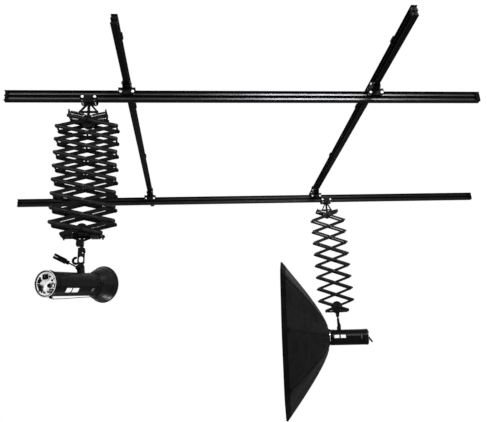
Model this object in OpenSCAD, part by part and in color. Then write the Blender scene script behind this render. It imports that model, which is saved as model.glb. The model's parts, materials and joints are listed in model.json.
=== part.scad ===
// Ceiling rail system with two cross rails, two scissor pantographs and their lamps.
// Frame: X along the cross rails, Y away from the viewer along the ceiling rails, Z up.
// The origin lies on the ceiling, at the centre of the outer rectangle of anchor holes.

/* [Rail section] */
// Height of every rail
rail_h = 66; // [60:1:90]
// Width of every rail
rail_w = 36; // [34:1:60]
// Thickness of a rail's upright web
web_t = 4; // [3:0.5:6]
// Thickness of each of a rail's three flanges
flange_t = 3; // [2:0.5:4]

/* [Ceiling rails] */
// Length of each rail under the ceiling
ceiling_rail_l = 2770; // [2650:10:4000]
// Distance between the two ceiling rails' centre lines
ceiling_rail_pitch = 1577; // [1200:1:2200]
// Shift of each ceiling rail along its length, one each way
ceiling_rail_stagger = 55; // [0:5:80]

/* [Ceiling clamps] */
// Thickness of a clamp's anchor plate and jaws
clamp_t = 5; // [4:0.5:8]
// Length of a clamp along its rail
clamp_l = 50; // [30:1:90]
// Diameter of the anchor hole in each clamp
anchor_d = 8; // [5:0.5:10]
// Diameter of the countersink for the anchor's head
anchor_head_d = 15; // [12:0.5:20]
// Distance along the rail between the outer clamps
outer_clamp_pitch = 2300; // [1400:10:2400]
// Distance along the rail between the inner clamps
inner_clamp_pitch = 800; // [300:10:1200]
// How far a jaw reaches in under the rail's top flange
jaw_reach = 8; // [4:1:12]

/* [Cross rails] */
// Clear height between the ceiling rails and the cross rails
rail_gap = 28; // [20:1:60]
// Length of the front cross rail
front_rail_l = 3000; // [2800:50:4000]
// Length of the rear cross rail
rear_rail_l = 4332; // [4100:1:5000]
// Sideways shift of the front cross rail
front_rail_shift = -18; // [-60:1:60]
// Sideways shift of the rear cross rail
rear_rail_shift = 177; // [100:1:250]
// Place of the front cross rail along the ceiling rails
front_rail_y = -723; // [-1000:1:-500]
// Place of the rear cross rail along the ceiling rails
rear_rail_y = 1128; // [900:1:1150]

/* [Carriages and trolleys] */
// Diameter of a wheel
wheel_d = 22; // [16:0.5:24]
// Width of a wheel
wheel_w = 10; // [6:0.5:11]
// Distance between a trolley's two wheels along the rail
wheel_pitch = 74; // [55:1:120]
// Diameter of the wheel axles and tie bolts
axle_d = 8; // [5:0.5:10]
// Radius of the rounded ear round each axle
ear_r = 15; // [10:0.5:16]
// Thickness of the side cheeks
cheek_t = 5; // [3:0.5:8]
// Thickness of a carriage's middle plate
carriage_plate_t = 6; // [4:0.5:10]
// Height of the trolley cheeks from the axle to the lower lobes
trolley_cheek_h = 18; // [16:1:40]
// Distance from the wheel axle down to the tie bolt
tie_drop = 26; // [22:1:30]
// Place of the front pantograph trolley along its rail
front_trolley_x = -1016; // [-1200:1:-920]
// Place of the rear pantograph trolley along its rail
rear_trolley_x = 884; // [600:1:1300]

/* [Pantographs] */
// Length of a front arm from tip pin to tip pin
front_arm_l = 357; // [300:1:450]
// Length of a rear arm from tip pin to tip pin
rear_arm_l = 324.5; // [260:0.5:420]
// Slope of the front arms in the photographed pose
front_arm_slope = 13.84; // [11:0.01:20]
// Slope of the rear arms in the photographed pose
rear_arm_slope = 19.55; // [15:0.01:26]
// Width of a front arm
front_arm_w = 23; // [16:0.5:26]
// Width of a rear arm
rear_arm_w = 18; // [12:0.5:22]
// Thickness of every arm bar
arm_t = 4; // [2:0.5:6]
// Distance between the front pantograph's outer bars, middle to middle
front_plane_span = 80; // [74:1:110]
// Distance between the rear pantograph's outer bars, middle to middle
rear_plane_span = 56; // [52:1:90]
// Length of the front end arms past their pivot
front_arm_ext = 111; // [90:1:150]
// Length of the rear end arms past their pivot
rear_arm_ext = 102; // [80:1:130]
// Height of the spring prong on the front top arms
front_prong_h = 36; // [20:1:45]
// Height of the spring prong on the rear top arms
rear_prong_h = 18; // [12:1:30]
// Height of the spring prong on every bottom arm
low_prong_h = 12; // [8:1:30]
// Diameter of the spring legs that hook onto the end arms
spring_leg_d = 7; // [4:0.5:8]
// Diameter of the pivot pins
pin_d = 8; // [5:0.5:10]
// Diameter of the pivot pins' heads
pin_head_d = 13; // [10:0.5:16]
// Diameter of the spring drum on the front pantograph's end pivots
front_drum_d = 64; // [40:1:80]
// Diameter of the spring drum at the top of the rear pantograph
rear_drum_d = 54; // [40:1:70]
// Diameter of the spring drum at the bottom of the rear pantograph
rear_low_drum_d = 86; // [50:1:90]
// Drop from the front trolley to the top pivot
front_hanger_drop = 127; // [100:1:180]
// Drop from the rear trolley to the top pivot
rear_hanger_drop = 120; // [100:1:180]

/* [Sockets and brackets] */
// Diameter of the lamp spigots
spigot_d = 16; // [12:0.5:18]
// Length of a spigot inside its bracket
spigot_in = 45; // [30:1:48]
// Visible length of the front spigot
front_spigot_gap = 12; // [6:1:40]
// Visible length of the rear spigot
rear_spigot_gap = 22; // [6:1:60]
// Width of the front socket block
front_block_w = 38; // [34:1:60]
// Width of the rear socket block
rear_block_w = 26; // [24:1:40]
// Sideways shift of the front socket block from the pivot line
front_block_shift = -10; // [-12:1:12]
// Height of a socket block
block_h = 33; // [20:1:50]
// Drop from the bottom pivot to the socket block
block_drop = 57; // [50:1:80]
// Width of the front swivel bracket
front_bracket_w = 28; // [26:1:50]
// Width of the rear swivel bracket
rear_bracket_w = 22; // [22:1:40]
// Height of the front swivel bracket
front_bracket_h = 85; // [75:1:110]
// Height of the rear swivel bracket
rear_bracket_h = 52; // [50:1:90]
// Thickness of the tilt tongue
tongue_t = 14; // [8:1:20]
// Radius of the tilt tongue and cheeks
tilt_r = 17; // [13:1:20]
// Diameter of the tilt bolt
tilt_bolt_d = 10; // [6:0.5:12]
// Length of the tilt lever's reach
lever_reach = 120; // [60:1:160]
// Angle at which the tilt lever rises
lever_rise = 29; // [10:1:45]

/* [Lamps] */
// Diameter of the front flash head
front_head_d = 125; // [100:1:140]
// Diameter of the rear flash head
rear_head_d = 134; // [100:1:140]
// Length of the front flash head behind its tilt pivot
front_head_back = 285; // [180:1:320]
// Length of the rear flash head behind its tilt pivot
rear_head_back = 248; // [180:1:320]
// Length of the front flash head ahead of its tilt pivot
front_head_ahead = 98; // [80:1:160]
// Length of the rear flash head ahead of its tilt pivot
rear_head_ahead = 84; // [70:1:140]
// Direction of the front lamp about the vertical, from +X
front_head_turn = 63; // [0:0.5:180]
// Direction of the rear lamp about the vertical, from +X
rear_head_turn = 170; // [90:0.5:270]
// Upward tilt of the front lamp in the photographed pose
front_head_tilt = 9.3; // [0:0.1:20]
// Upward tilt of the rear lamp in the photographed pose
rear_head_tilt = 2; // [0:0.1:5]
// Height of the front tilt pivot above the lamp's axis
front_head_drop = 94; // [86:1:120]
// Height of the rear tilt pivot above the lamp's axis
rear_head_drop = 86; // [80:1:120]
// Wall of a flash head's casing
casing_t = 3; // [2:0.5:5]
// Diameter of the reflector's rim
reflector_d = 205; // [180:1:300]
// Depth of the reflector
reflector_depth = 99; // [70:1:160]
// Thickness of the reflector's sheet
reflector_t = 1.5; // [1:0.1:3]
// Diameter of the softbox across opposite corners
softbox_d = 1378; // [900:1:1600]
// Depth of the softbox from its ring to its face
softbox_depth = 398; // [250:1:500]
// Thickness of the softbox cloth with its lining
softbox_t = 3; // [2:0.5:5]
// Depth of the softbox's straight lip round the face
softbox_lip = 12; // [8:1:60]
// Length of the cloth collar round the speed ring
softbox_collar = 8; // [4:1:11]

/* [Fits] */
// Clearance of a wheel over the flange that it rolls on
roll_clear = 0.3; // [0.2:0.05:0.5]
// Radial clearance of a pin that turns in its hole
pin_clear = 0.05; // [0.02:0.01:0.1]
// Radial clearance at the open pivots
open_clear = 0.3; // [0.1:0.05:0.5]
// Side clearance between plates that turn past each other
side_clear = 1; // [0.5:0.1:1.5]
// Clearance between a cheek and the side of its rail
cheek_gap = 2.5; // [1:0.1:4]

/* [Hidden] */
$fn = 48;
LEVELS = 9;
FRONT = 0;
REAR = 1;
SIDES = ["front", "rear"];
LETTERS = ["a", "b"];

// Heights of the rails, from the ceiling down
ceiling_rail_top = -clamp_t;
ceiling_rail_base = ceiling_rail_top - rail_h;
cross_rail_top = ceiling_rail_base - rail_gap;
cross_rail_base = cross_rail_top - rail_h;
groove_h = (rail_h - 3 * flange_t) / 2;
top_wheel_z = ceiling_rail_base + flange_t + roll_clear + wheel_d / 2;
low_wheel_z = cross_rail_top - flange_t - roll_clear - wheel_d / 2;
trolley_wheel_z = cross_rail_base + flange_t + roll_clear + wheel_d / 2;
carriage_plate_z = (ceiling_rail_base + cross_rail_top) / 2;
trolley_base = trolley_wheel_z - trolley_cheek_h - ear_r;

// Sideways places inside a trolley
cheek_in = rail_w / 2 + cheek_gap;
cheek_out = cheek_in + cheek_t;
wheel_in = web_t / 2 + 2.5;
axle_in = web_t / 2 + 1;
axle_head_t = 5;
axle_head_d = axle_d + 5;
hub_d = axle_d + 6;
trolley_plate_t = 10;

// Rail stops
stop_l = 12;
stop_inset = 14;
stop_bolt_d = 6;
stop_clear = 0.4;
end_cap_t = 3;

// Values of each pantograph, front first
rail_y = [front_rail_y, rear_rail_y];
rail_x = [front_rail_shift, rear_rail_shift];
rail_l = [front_rail_l, rear_rail_l];
trolley_x = [front_trolley_x, rear_trolley_x];
arm_l = [front_arm_l, rear_arm_l];
arm_slope = [front_arm_slope, rear_arm_slope];
arm_w = [front_arm_w, rear_arm_w];
plane_span = [front_plane_span, rear_plane_span];
arm_ext = [front_arm_ext, rear_arm_ext];
prong_h = [front_prong_h, rear_prong_h];
drum_d = [front_drum_d, rear_drum_d];
low_drum_d = [front_drum_d, rear_low_drum_d];
block_shift = [front_block_shift, 0];
hanger_drop = [front_hanger_drop, rear_hanger_drop];
spigot_gap = [front_spigot_gap, rear_spigot_gap];
block_w = [front_block_w, rear_block_w];
bracket_w = [front_bracket_w, rear_bracket_w];
bracket_h = [front_bracket_h, rear_bracket_h];
head_d = [front_head_d, rear_head_d];
head_back = [front_head_back, rear_head_back];
head_ahead = [front_head_ahead, rear_head_ahead];
head_turn = [front_head_turn, rear_head_turn];
head_tilt = [front_head_tilt, rear_head_tilt];
head_drop = [front_head_drop, rear_head_drop];

pin_head_t = 4;
tilt_cheek_y = tongue_t / 2 + 0.3;
tilt_cheek_w = 6;
tilt_head_d = tilt_bolt_d + 6;
tilt_head_t = 4;
lever_hub_t = 12;
lever_gap = 0.5;
capacitor_l = 150;
lever_turn = 147;
bezel_out = [6, 2];
bezel_chamfer = [0, 5];
rear_rod_d = 12;
rear_rod_l = 64;
rear_rod_turn = 144;
window_w = 22;
window_h = 36;
window_foot = 3;
window_turn = -78;
window_rise = 8;
hook_r = 17;
hook_t = 11;
prong_w = 9;
prong_inset = 0.25;
rib_t = 1;
post_d = 18;
hanger_t = 12;
bar_off = [66, 50];
low_bar_off = 36;
bar_h = 10;
strut_w = 10;
hanger_half = 58;

// Height of a pivot level, counted from 1 at the top
function level_z(p, k) = trolley_base - hanger_drop[p] - (k - 1) * arm_l[p] * sin(arm_slope[p]);
// Middle of a bar's thickness: arms of kind 0 run outside those of kind 1
function bar_y(p, kind) = plane_span[p] / 2 - kind * (arm_t + side_clear);
function pin_end(p) = plane_span[p] / 2 + arm_t / 2 + rib_t + 0.5;
function drum_half(p) = bar_y(p, 1) - arm_t / 2 - rib_t - side_clear;
function arm_name(p, kind, k) = str(SIDES[p], "_arm_", LETTERS[kind], k);

socket_base = [for (p = [0, 1]) level_z(p, LEVELS) - block_drop - block_h];
bracket_top = [for (p = [0, 1]) socket_base[p] - spigot_gap[p]];
tilt_z = [for (p = [0, 1]) bracket_top[p] - bracket_h[p] - tilt_r - 6];

// A rail lies along X with its section centred on the axis
module rail_section() {
    square([web_t, rail_h], center = true);
    for (z = [-1, 0, 1]) translate([0, z * (rail_h - flange_t) / 2])
        square([rail_w, flange_t], center = true);
}

module rail(length) {
    difference() {
        rotate([90, 0, 90]) linear_extrude(length, center = true) rail_section();
        for (x = [-1, 1], z = [-1, 1])
            translate([x * (length / 2 - stop_inset), 0, z * (groove_h + flange_t) / 2])
                rotate([90, 0, 0]) cylinder(d = stop_bolt_d + 0.4, h = web_t + 2, center = true);
    }
}

// One block each side of the web, held by a bolt through it, in the upper or the lower groove
module rail_stop() {
    depth = rail_w / 2 - web_t / 2 - 1;
    for (y = [-1, 1]) translate([0, y * (web_t / 2 + 0.05 + depth / 2), 0])
        cube([stop_l, depth, groove_h - 2 * stop_clear], center = true);
    rotate([90, 0, 0]) cylinder(d = stop_bolt_d, h = rail_w + 2, center = true);
    for (y = [-1, 1]) translate([0, y * (rail_w / 2 + 1), 0]) rotate([90, 0, 0])
        cylinder(d = stop_bolt_d + 5, h = 4, center = true, $fn = 6);
}

module rail_stops(length, caps) {
    for (x = [-1, 1], z = [-1, 1])
        translate([x * (length / 2 - stop_inset), 0, z * (groove_h + flange_t) / 2]) rail_stop();
    if (caps) translate([length / 2 + end_cap_t / 2, 0, 0])
        cube([end_cap_t, rail_w, rail_h], center = true);
}

module at_ceiling_rails() {
    for (s = [-1, 1]) translate([s * ceiling_rail_pitch / 2, -s * ceiling_rail_stagger,
        ceiling_rail_top - rail_h / 2]) rotate([0, 0, 90]) children();
}

module ceiling_rails() { color("#16171a") at_ceiling_rails() rail(ceiling_rail_l); }

module ceiling_rail_stops() { color("#2a2b2e") at_ceiling_rails() rail_stops(ceiling_rail_l, false); }

// Anchor plate with two jaws that hook under the rail's top flange
module ceiling_clamp() {
    leg_x = rail_w / 2 + 0.5;
    plate_w = 2 * (leg_x + clamp_t);
    sink = (anchor_head_d - anchor_d) / 2;
    difference() {
        union() {
            translate([-plate_w / 2, -clamp_l / 2, -clamp_t]) cube([plate_w, clamp_l, clamp_t]);
            for (s = [0, 1]) mirror([s, 0, 0]) {
                translate([leg_x, -clamp_l / 2, -2 * clamp_t - flange_t])
                    cube([clamp_t, clamp_l, 2 * clamp_t + flange_t]);
                translate([rail_w / 2 - jaw_reach, -clamp_l / 2, -2 * clamp_t - flange_t])
                    cube([jaw_reach + clamp_t, clamp_l, clamp_t]);
            }
        }
        translate([0, 0, -clamp_t - 1]) cylinder(d = anchor_d, h = clamp_t + 2);
        translate([0, 0, -clamp_t - 0.01]) cylinder(d1 = anchor_head_d, d2 = anchor_d, h = sink);
    }
}

module ceiling_clamps() {
    color("#2c2d30") for (x = [-1, 1], pitch = [outer_clamp_pitch, inner_clamp_pitch], y = [-1, 1])
        translate([x * ceiling_rail_pitch / 2, y * pitch / 2, 0]) ceiling_clamp();
}

// Side cheek in the XZ plane with round ears at the axles, joined to a height z_to
module cheek(z_axle, z_to) {
    translate([0, cheek_in, 0]) rotate([90, 0, 0]) mirror([0, 0, 1]) linear_extrude(cheek_t) difference() {
        union() {
            for (x = [-1, 1]) translate([x * wheel_pitch / 2, z_axle]) circle(r = ear_r);
            translate([-wheel_pitch / 2, z_axle - ear_r]) square([wheel_pitch, 2 * ear_r]);
            translate([-wheel_pitch / 2 - ear_r, min(z_axle, z_to)])
                square([wheel_pitch + 2 * ear_r, abs(z_axle - z_to)]);
        }
        for (x = [-1, 1]) translate([x * wheel_pitch / 2, z_axle]) circle(d = axle_d + 2 * pin_clear);
    }
}

module both_sides() { for (s = [0, 1]) mirror([0, s, 0]) children(); }

// Wheel with a recessed hub on a headed axle bolt, on the +Y side
module wheel_and_axle() {
    rotate([-90, 0, 0]) {
        translate([0, 0, wheel_in]) difference() {
            union() {
                translate([0, 0, 1]) cylinder(d = wheel_d, h = wheel_w - 2);
                cylinder(d = wheel_d - 2, h = wheel_w);
            }
            translate([0, 0, -1]) cylinder(d = axle_d + 2 * pin_clear, h = wheel_w + 2);
            translate([0, 0, wheel_w - 1.5]) difference() {
                cylinder(d = wheel_d - 4, h = 3);
                translate([0, 0, -1]) cylinder(d = hub_d, h = 5);
            }
        }
        translate([0, 0, axle_in]) cylinder(d = axle_d, h = cheek_out - axle_in + 1);
        translate([0, 0, cheek_out]) cylinder(d = axle_head_d, h = axle_head_t);
    }
}

module wheel_row(z) {
    both_sides() for (x = [-1, 1]) translate([x * wheel_pitch / 2, 0, z]) wheel_and_axle();
}

module at_crossings(p) {
    for (s = [-1, 1]) translate([s * ceiling_rail_pitch / 2, rail_y[p], 0]) children();
}

// Crossing carriage: wheels in the ceiling rail above carry wheels that hold the cross rail below
module carriages(p) {
    span = wheel_pitch + 2 * ear_r;
    color("#1b1c1f") at_crossings(p) {
        for (a = [0, 90]) rotate([0, 0, a]) translate([0, 0, carriage_plate_z])
            cube([span, 2 * cheek_out, carriage_plate_t], center = true);
        both_sides() cheek(low_wheel_z, carriage_plate_z);
        rotate([0, 0, 90]) both_sides() cheek(top_wheel_z, carriage_plate_z);
    }
}

module carriage_wheels(p) {
    color("silver") at_crossings(p) {
        wheel_row(low_wheel_z);
        rotate([0, 0, 90]) wheel_row(top_wheel_z);
    }
}

module at_rail(p) {
    translate([rail_x[p], rail_y[p], cross_rail_top - rail_h / 2]) children();
}

module cross_rail(p) { color("#16171a") at_rail(p) rail(rail_l[p]); }

module rail_end_stops(p) { color("#2a2b2e") at_rail(p) rail_stops(rail_l[p], true); }

// Leg of the hanger frame: from (x0, z0) to (x1, z1) in the XZ plane
module strut(x0, z0, x1, z1, width, depth) {
    run = norm([x1 - x0, z1 - z0]);
    translate([x0, 0, z0]) rotate([0, -atan2(z1 - z0, x1 - x0), 0]) translate([0, -depth / 2, -width / 2])
        cube([run, depth, width]);
}

// Frame with crossbar, two legs and a post, round a spring drum on the pivot at the origin.
// The post ends at the height post_z, above the pivot if that is positive.
module hanger(p, post_z, foot, drum, off) {
    up = sign(post_z);
    half = hanger_half - 10 * p;
    rotate([90, 0, 0]) {
        cylinder(d = drum, h = 2 * drum_half(p), center = true);
        for (s = [-1, 1]) translate([0, 0, s * (drum_half(p) - 2)])
            cylinder(d = drum + 4, h = 3, center = true);
        cylinder(d = pin_d, h = 2 * pin_end(p), center = true);
        for (s = [-1, 1]) translate([0, 0, s * (pin_end(p) + pin_head_t / 2)])
            cylinder(d = pin_head_d, h = pin_head_t, center = true, $fn = 6);
    }
    translate([0, 0, up * (abs(post_z) / 2 + 5)]) cylinder(d = post_d, h = abs(post_z) - 10, center = true);
    translate([0, 0, up * (off + bar_h / 2)]) cube([2 * half, hanger_t, bar_h], center = true);
    for (s = [-1, 1]) strut(s * foot, post_z - up * 5, s * (half - 5), up * (off + bar_h / 2),
        strut_w, hanger_t - 2);
}

module at_trolley(p) { translate([trolley_x[p], rail_y[p], 0]) children(); }

module trolley(p) {
    lobe_z = trolley_wheel_z - trolley_cheek_h;
    color("#1b1c1f") at_trolley(p) {
        both_sides() difference() {
            union() {
                cheek(trolley_wheel_z, lobe_z);
                translate([0, cheek_in, 0]) rotate([90, 0, 0]) mirror([0, 0, 1]) linear_extrude(cheek_t) {
                    for (x = [-1, 1]) translate([x * wheel_pitch / 2, lobe_z]) circle(r = ear_r);
                    translate([-wheel_pitch / 2, trolley_base]) square([wheel_pitch, ear_r + 1]);
                }
            }
            for (x = [-1, 1], drop = [0, tie_drop])
                translate([x * wheel_pitch / 2, 0, trolley_wheel_z - drop])
                    rotate([-90, 0, 0]) cylinder(d = axle_d + 2 * pin_clear, h = cheek_out + 1);
        }
        translate([0, 0, trolley_base + trolley_plate_t / 2])
            cube([wheel_pitch - 2 * axle_d - 2, 2 * cheek_in + 2, trolley_plate_t], center = true);
        translate([0, 0, level_z(p, 1)]) hanger(p, hanger_drop[p], 12, drum_d[p], bar_off[p]);
    }
}

module trolley_wheels(p) {
    color("silver") at_trolley(p) {
        wheel_row(trolley_wheel_z);
        for (x = [-1, 1])
            translate([x * wheel_pitch / 2, 0, trolley_wheel_z - tie_drop]) rotate([90, 0, 0]) {
                cylinder(d = axle_d, h = 2 * cheek_out + 1, center = true);
                for (s = [-1, 1]) translate([0, 0, s * (cheek_out + 2)])
                    cylinder(d = axle_head_d, h = 4, center = true, $fn = 6);
            }
    }
}

// Flat bar with round ends from x0 to x1 on the X axis, with a raised rib on its +Y face
module bar(p, x0, x1, holes) {
    w = arm_w[p];
    rotate([90, 0, 0]) difference() {
        union() {
            for (x = [x0, x1]) translate([x, 0, 0]) cylinder(d = w, h = arm_t, center = true);
            translate([x0, -w / 2, -arm_t / 2]) cube([x1 - x0, w, arm_t]);
            translate([x0, -w / 6, -arm_t / 2 - rib_t]) cube([x1 - x0, w / 3, arm_t]);
        }
        for (h = holes) translate([h[0], 0, 0])
            cylinder(d = pin_d + 2 * h[1], h = arm_t + 4 * rib_t, center = true);
    }
}

// Headed pin across both planes
module pin(p) {
    rotate([90, 0, 0]) {
        cylinder(d = pin_d, h = 2 * pin_end(p), center = true);
        for (s = [-1, 1]) translate([0, 0, s * (pin_end(p) + pin_head_t / 2)])
            cylinder(d = pin_head_d, h = pin_head_t, center = true, $fn = 6);
        cylinder(d = pin_d + 4, h = 2 * drum_half(p), center = true);
    }
}

// Arm of level k. Kind 0 falls to the right and kind 1 to the left. Each arm holds the pin at its lower
// tip, kind 0 also the one at its middle, and an end arm reaches past its pivot to a prong for the spring.
// The ribs face away from the other kind: out on kind 0 and in on kind 1.
module arm(p, kind, k) {
    half = arm_l[p] / 2;
    first = k == 1;
    last = k == LEVELS;
    x0 = first ? -arm_ext[p] : -half;
    x1 = last ? arm_ext[p] : half;
    middle = first ? [0, pin_clear] : last ? [0, kind == 0 ? pin_clear : open_clear] : [0, open_clear];
    middle_open = first || last || kind == 1;
    holes = concat(first ? [] : [[-half, pin_clear]], middle_open ? [middle] : []);
    color(kind == 0 ? "#232428" : "#1d1e21") translate([trolley_x[p], rail_y[p], level_z(p, k)])
        mirror([kind, 0, 0]) rotate([0, arm_slope[p], 0]) {
            for (s = [0, 1]) mirror([0, s, 0]) {
                translate([0, bar_y(p, kind), 0]) mirror([0, kind, 0]) bar(p, x0, x1, holes);
            }
            if (!last) translate([half, 0, 0]) pin(p);
            if (kind == 0 && !first && !last) pin(p);
            if (first) arm_end(p, kind, -arm_ext[p], 1, prong_h[p], drum_d[p]);
            if (last) arm_end(p, kind, arm_ext[p], -1, low_prong_h, low_drum_d[p]);
        }
}

// Rods across an end arm's free end, an upright prong set into each bar, and the legs of the drum's
// springs, which run from the two rods to just outside the drum
module arm_end(p, kind, x, up, prong, drum) {
    leg_r = drum / 2 + spring_leg_d / 2 + 3;
    leg_y = (post_d + spring_leg_d) / 2 + side_clear + (1 - kind) * (spring_leg_d + side_clear);
    hook = arm_w[p] / 4 + prong - pin_d / 2 - 2;
    translate([x, 0, 0]) rotate([0, -arm_slope[p], 0]) {
        for (z = [0, up * hook]) translate([0, 0, z]) rotate([90, 0, 0])
            cylinder(d = pin_d, h = 2 * bar_y(p, kind), center = true);
        for (s = [-1, 1]) translate([0, s * bar_y(p, kind), up * (arm_w[p] / 4 + prong / 2)])
            cube([prong_w, arm_t - 2 * prong_inset, prong], center = true);
    }
    for (s = [-1, 1]) translate([0, s * leg_y, 0]) {
        spring_leg(x, 0, sign(x) * leg_r * sin(72), up * leg_r * cos(72));
        spring_leg(x - up * hook * sin(arm_slope[p]), up * hook * cos(arm_slope[p]),
            sign(x) * leg_r * sin(28), up * leg_r * cos(28));
    }
}

// Round spring leg from (x0, z0) to (x1, z1) in the XZ plane
module spring_leg(x0, z0, x1, z1) {
    translate([x0, 0, z0]) rotate([0, 90 - atan2(z1 - z0, x1 - x0), 0])
        cylinder(d = spring_leg_d, h = norm([x1 - x0, z1 - z0]));
}

module socket(p) {
    color("#1b1c1f") translate([trolley_x[p], rail_y[p], level_z(p, LEVELS)]) {
        hanger(p, -block_drop - 6, 10, low_drum_d[p], low_bar_off);
        translate([block_shift[p], 0, -block_drop - block_h / 2]) difference() {
            cube([block_w[p], min(block_w[p], 36), block_h], center = true);
            for (a = [0, 90]) rotate([0, 0, a]) for (s = [-1, 1]) translate([s * block_w[p] / 2, 0, 0])
                cube([3, 8, block_h + 2], center = true);
        }
        translate([0, 0, -block_drop - block_h - spigot_gap[p] - spigot_in])
            cylinder(d = spigot_d, h = spigot_gap[p] + spigot_in + 1);
    }
}

// Frame of a lamp bracket: origin on the tilt axis, X along the lamp, Y along the tilt axis
module at_tilt(p) {
    translate([trolley_x[p], rail_y[p], tilt_z[p]]) rotate([0, 0, head_turn[p]]) children();
}

module lamp_bracket(p) {
    w = bracket_w[p];
    rise = tilt_r + 6;
    tongue_half = min(tilt_r, w / 2);
    color("#202124") at_tilt(p) difference() {
        union() {
            if (p == FRONT) translate([-w / 2, -w / 2, rise - window_foot])
                cube([w, w, bracket_h[p] + window_foot]);
            if (p == REAR) translate([0, 0, rise]) cylinder(d = w, h = bracket_h[p]);
            if (p == FRONT) front_bracket_trim(rise);
            if (p == REAR) strut(-tilt_r, 8, -4, rise + 34, 8, 8);
            rotate([90, 0, 0]) cylinder(r = tilt_r, h = tongue_t, center = true);
            translate([-tongue_half, -tongue_t / 2, 0]) cube([2 * tongue_half, tongue_t, rise + 1]);
        }
        translate([0, 0, rise + bracket_h[p] - spigot_in - 0.5])
            cylinder(d = spigot_d + 2 * pin_clear, h = spigot_in + 2);
        rotate([90, 0, 0]) cylinder(d = tilt_bolt_d + 2 * pin_clear, h = tongue_t + 2, center = true);
        if (p == FRONT) translate([0, 0, rise + window_foot / 2 + window_h / 2]) bracket_window(2 * w);
    }
}

// Long oval window that lets the light through the front block
module bracket_window(depth) {
    rotate([0, window_rise, window_turn - front_head_turn]) rotate([0, 90, 0]) {
        for (z = [-1, 1]) translate([z * (window_h - window_w) / 2, 0, 0])
            cylinder(d = window_w, h = depth, center = true);
        cube([window_h - window_w, window_w, depth], center = true);
    }
}

// Lock knob, the spigot's set screw and the open cable hook
module front_bracket_trim(rise) {
    half = front_bracket_w / 2;
    h = front_bracket_h;
    rotate([0, 0, -front_head_turn]) {
        translate([0, 0, rise + h - 19]) rotate([0, 90, 0]) {
            cylinder(d = 10, h = half + 4);
            translate([0, 0, half + 2]) cylinder(d = 18, h = 5);
        }
        translate([-half - 12, 0, rise + 13]) rotate([90, 0, 180]) rotate([0, 0, -140])
            rotate_extrude(angle = 240) translate([hook_r, 0]) circle(d = hook_t);
    }
    translate([5 - half, -half - 3, rise + h - 32]) rotate([-90, 0, 0]) cylinder(d = 8, h = 6);
}

// Frame of a lamp: origin on the tilt axis, X along the tilted lamp
module at_lamp(p) { at_tilt(p) rotate([0, -head_tilt[p], 0]) children(); }

// Turned shape about the lamp's axis, from (distance along the axis, radius) points
module turned(p, points) {
    translate([0, 0, -head_drop[p]]) rotate([0, 90, 0]) rotate([0, 0, 90])
        rotate_extrude($fn = 64) polygon([for (q = points) [q[1], q[0]]]);
}

// Point on the lamp's end face, turned by an angle about its axis
module on_panel(p, radius, angle) {
    translate([-head_back[p], 0, -head_drop[p]]) rotate([angle, 0, 0]) translate([0, 0, radius])
        rotate([0, -90, 0]) children();
}

module flash_head(p) {
    r = head_d[p] / 2;
    back = head_back[p];
    front = head_ahead[p];
    rim = r + bezel_out[p];
    t = casing_t;
    color("#17181b") at_lamp(p) {
        // Casing with its end bezel
        turned(p, [[-back + 4, r - 3], [-back, rim - 4], [-back + bezel_chamfer[p], rim], [-back + 26, rim],
            [-back + 30, r], [front - 8, r], [front, r - 6], [front, r - 12], [front - t, r - 12],
            [front - t, r - t], [-back + 26, r - t], [-back + 22, r - 3]]);
        // Control panel
        turned(p, [[-back + 5, 0], [-back + 5, r - 3.2], [-back + 21, r - 3.2], [-back + 21, 0]]);
        // Capacitor block held on the panel plate
        capacitor_end = -back + capacitor_l;
        turned(p, [[-back + 21.5, 0], [-back + 21.5, r - 22], [capacitor_end, r - 22], [capacitor_end, 0]]);
        // Flash tube plate and glass dome
        turned(p, [[front - t, 0], [front - t, r - 12.2], [front - 1, r - 12.2], [front - 1, 30],
            [front + 8, 26], [front + 14, 14], [front + 16, 0]]);
        for (a = [0, 115, 240]) on_panel(p, r * 0.5, a) translate([0, 0, -5]) cylinder(d = 20, h = 13);
        for (a = [45, 75, 160, 190, 285, 315]) on_panel(p, r * 0.72, a) translate([0, 0, -5])
            cylinder(d = 9, h = 8);
        // Saddle and tilt cheeks
        difference() {
            union() {
                for (s = [-1, 1]) translate([0, s * (tilt_cheek_y + tilt_cheek_w / 2), 0]) {
                    rotate([90, 0, 0]) cylinder(r = tilt_r, h = tilt_cheek_w, center = true);
                    translate([-tilt_r, -tilt_cheek_w / 2, -head_drop[p] + r - t])
                        cube([2 * tilt_r, tilt_cheek_w, head_drop[p] - r + t]);
                }
            }
            turned(p, [[-tilt_r - 5, 0], [-tilt_r - 5, r + 0.02], [tilt_r + 5, r + 0.02], [tilt_r + 5, 0]]);
        }
        // Tilt bolt
        for (s = [-1, 1]) rotate([-90 * s, 0, 0]) {
            tilt_end = tilt_cheek_y + tilt_cheek_w + (s > 0 ? lever_room(p) : 0);
            cylinder(d = tilt_bolt_d, h = tilt_end);
            translate([0, 0, tilt_end]) cylinder(d = tilt_head_d, h = tilt_head_t, $fn = 6);
        }
        if (p == REAR) translate([-back - 1, 0, -head_drop[p] + 2]) rotate([0, -rear_rod_turn, 0])
            translate([0, 0, -4]) cylinder(d = rear_rod_d, h = rear_rod_l);
    }
}

// Room on the tilt bolt for the lever's hub or, at the rear, a washer
function lever_room(p) = p == FRONT ? lever_hub_t + 2 * lever_gap : 2;

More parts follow.
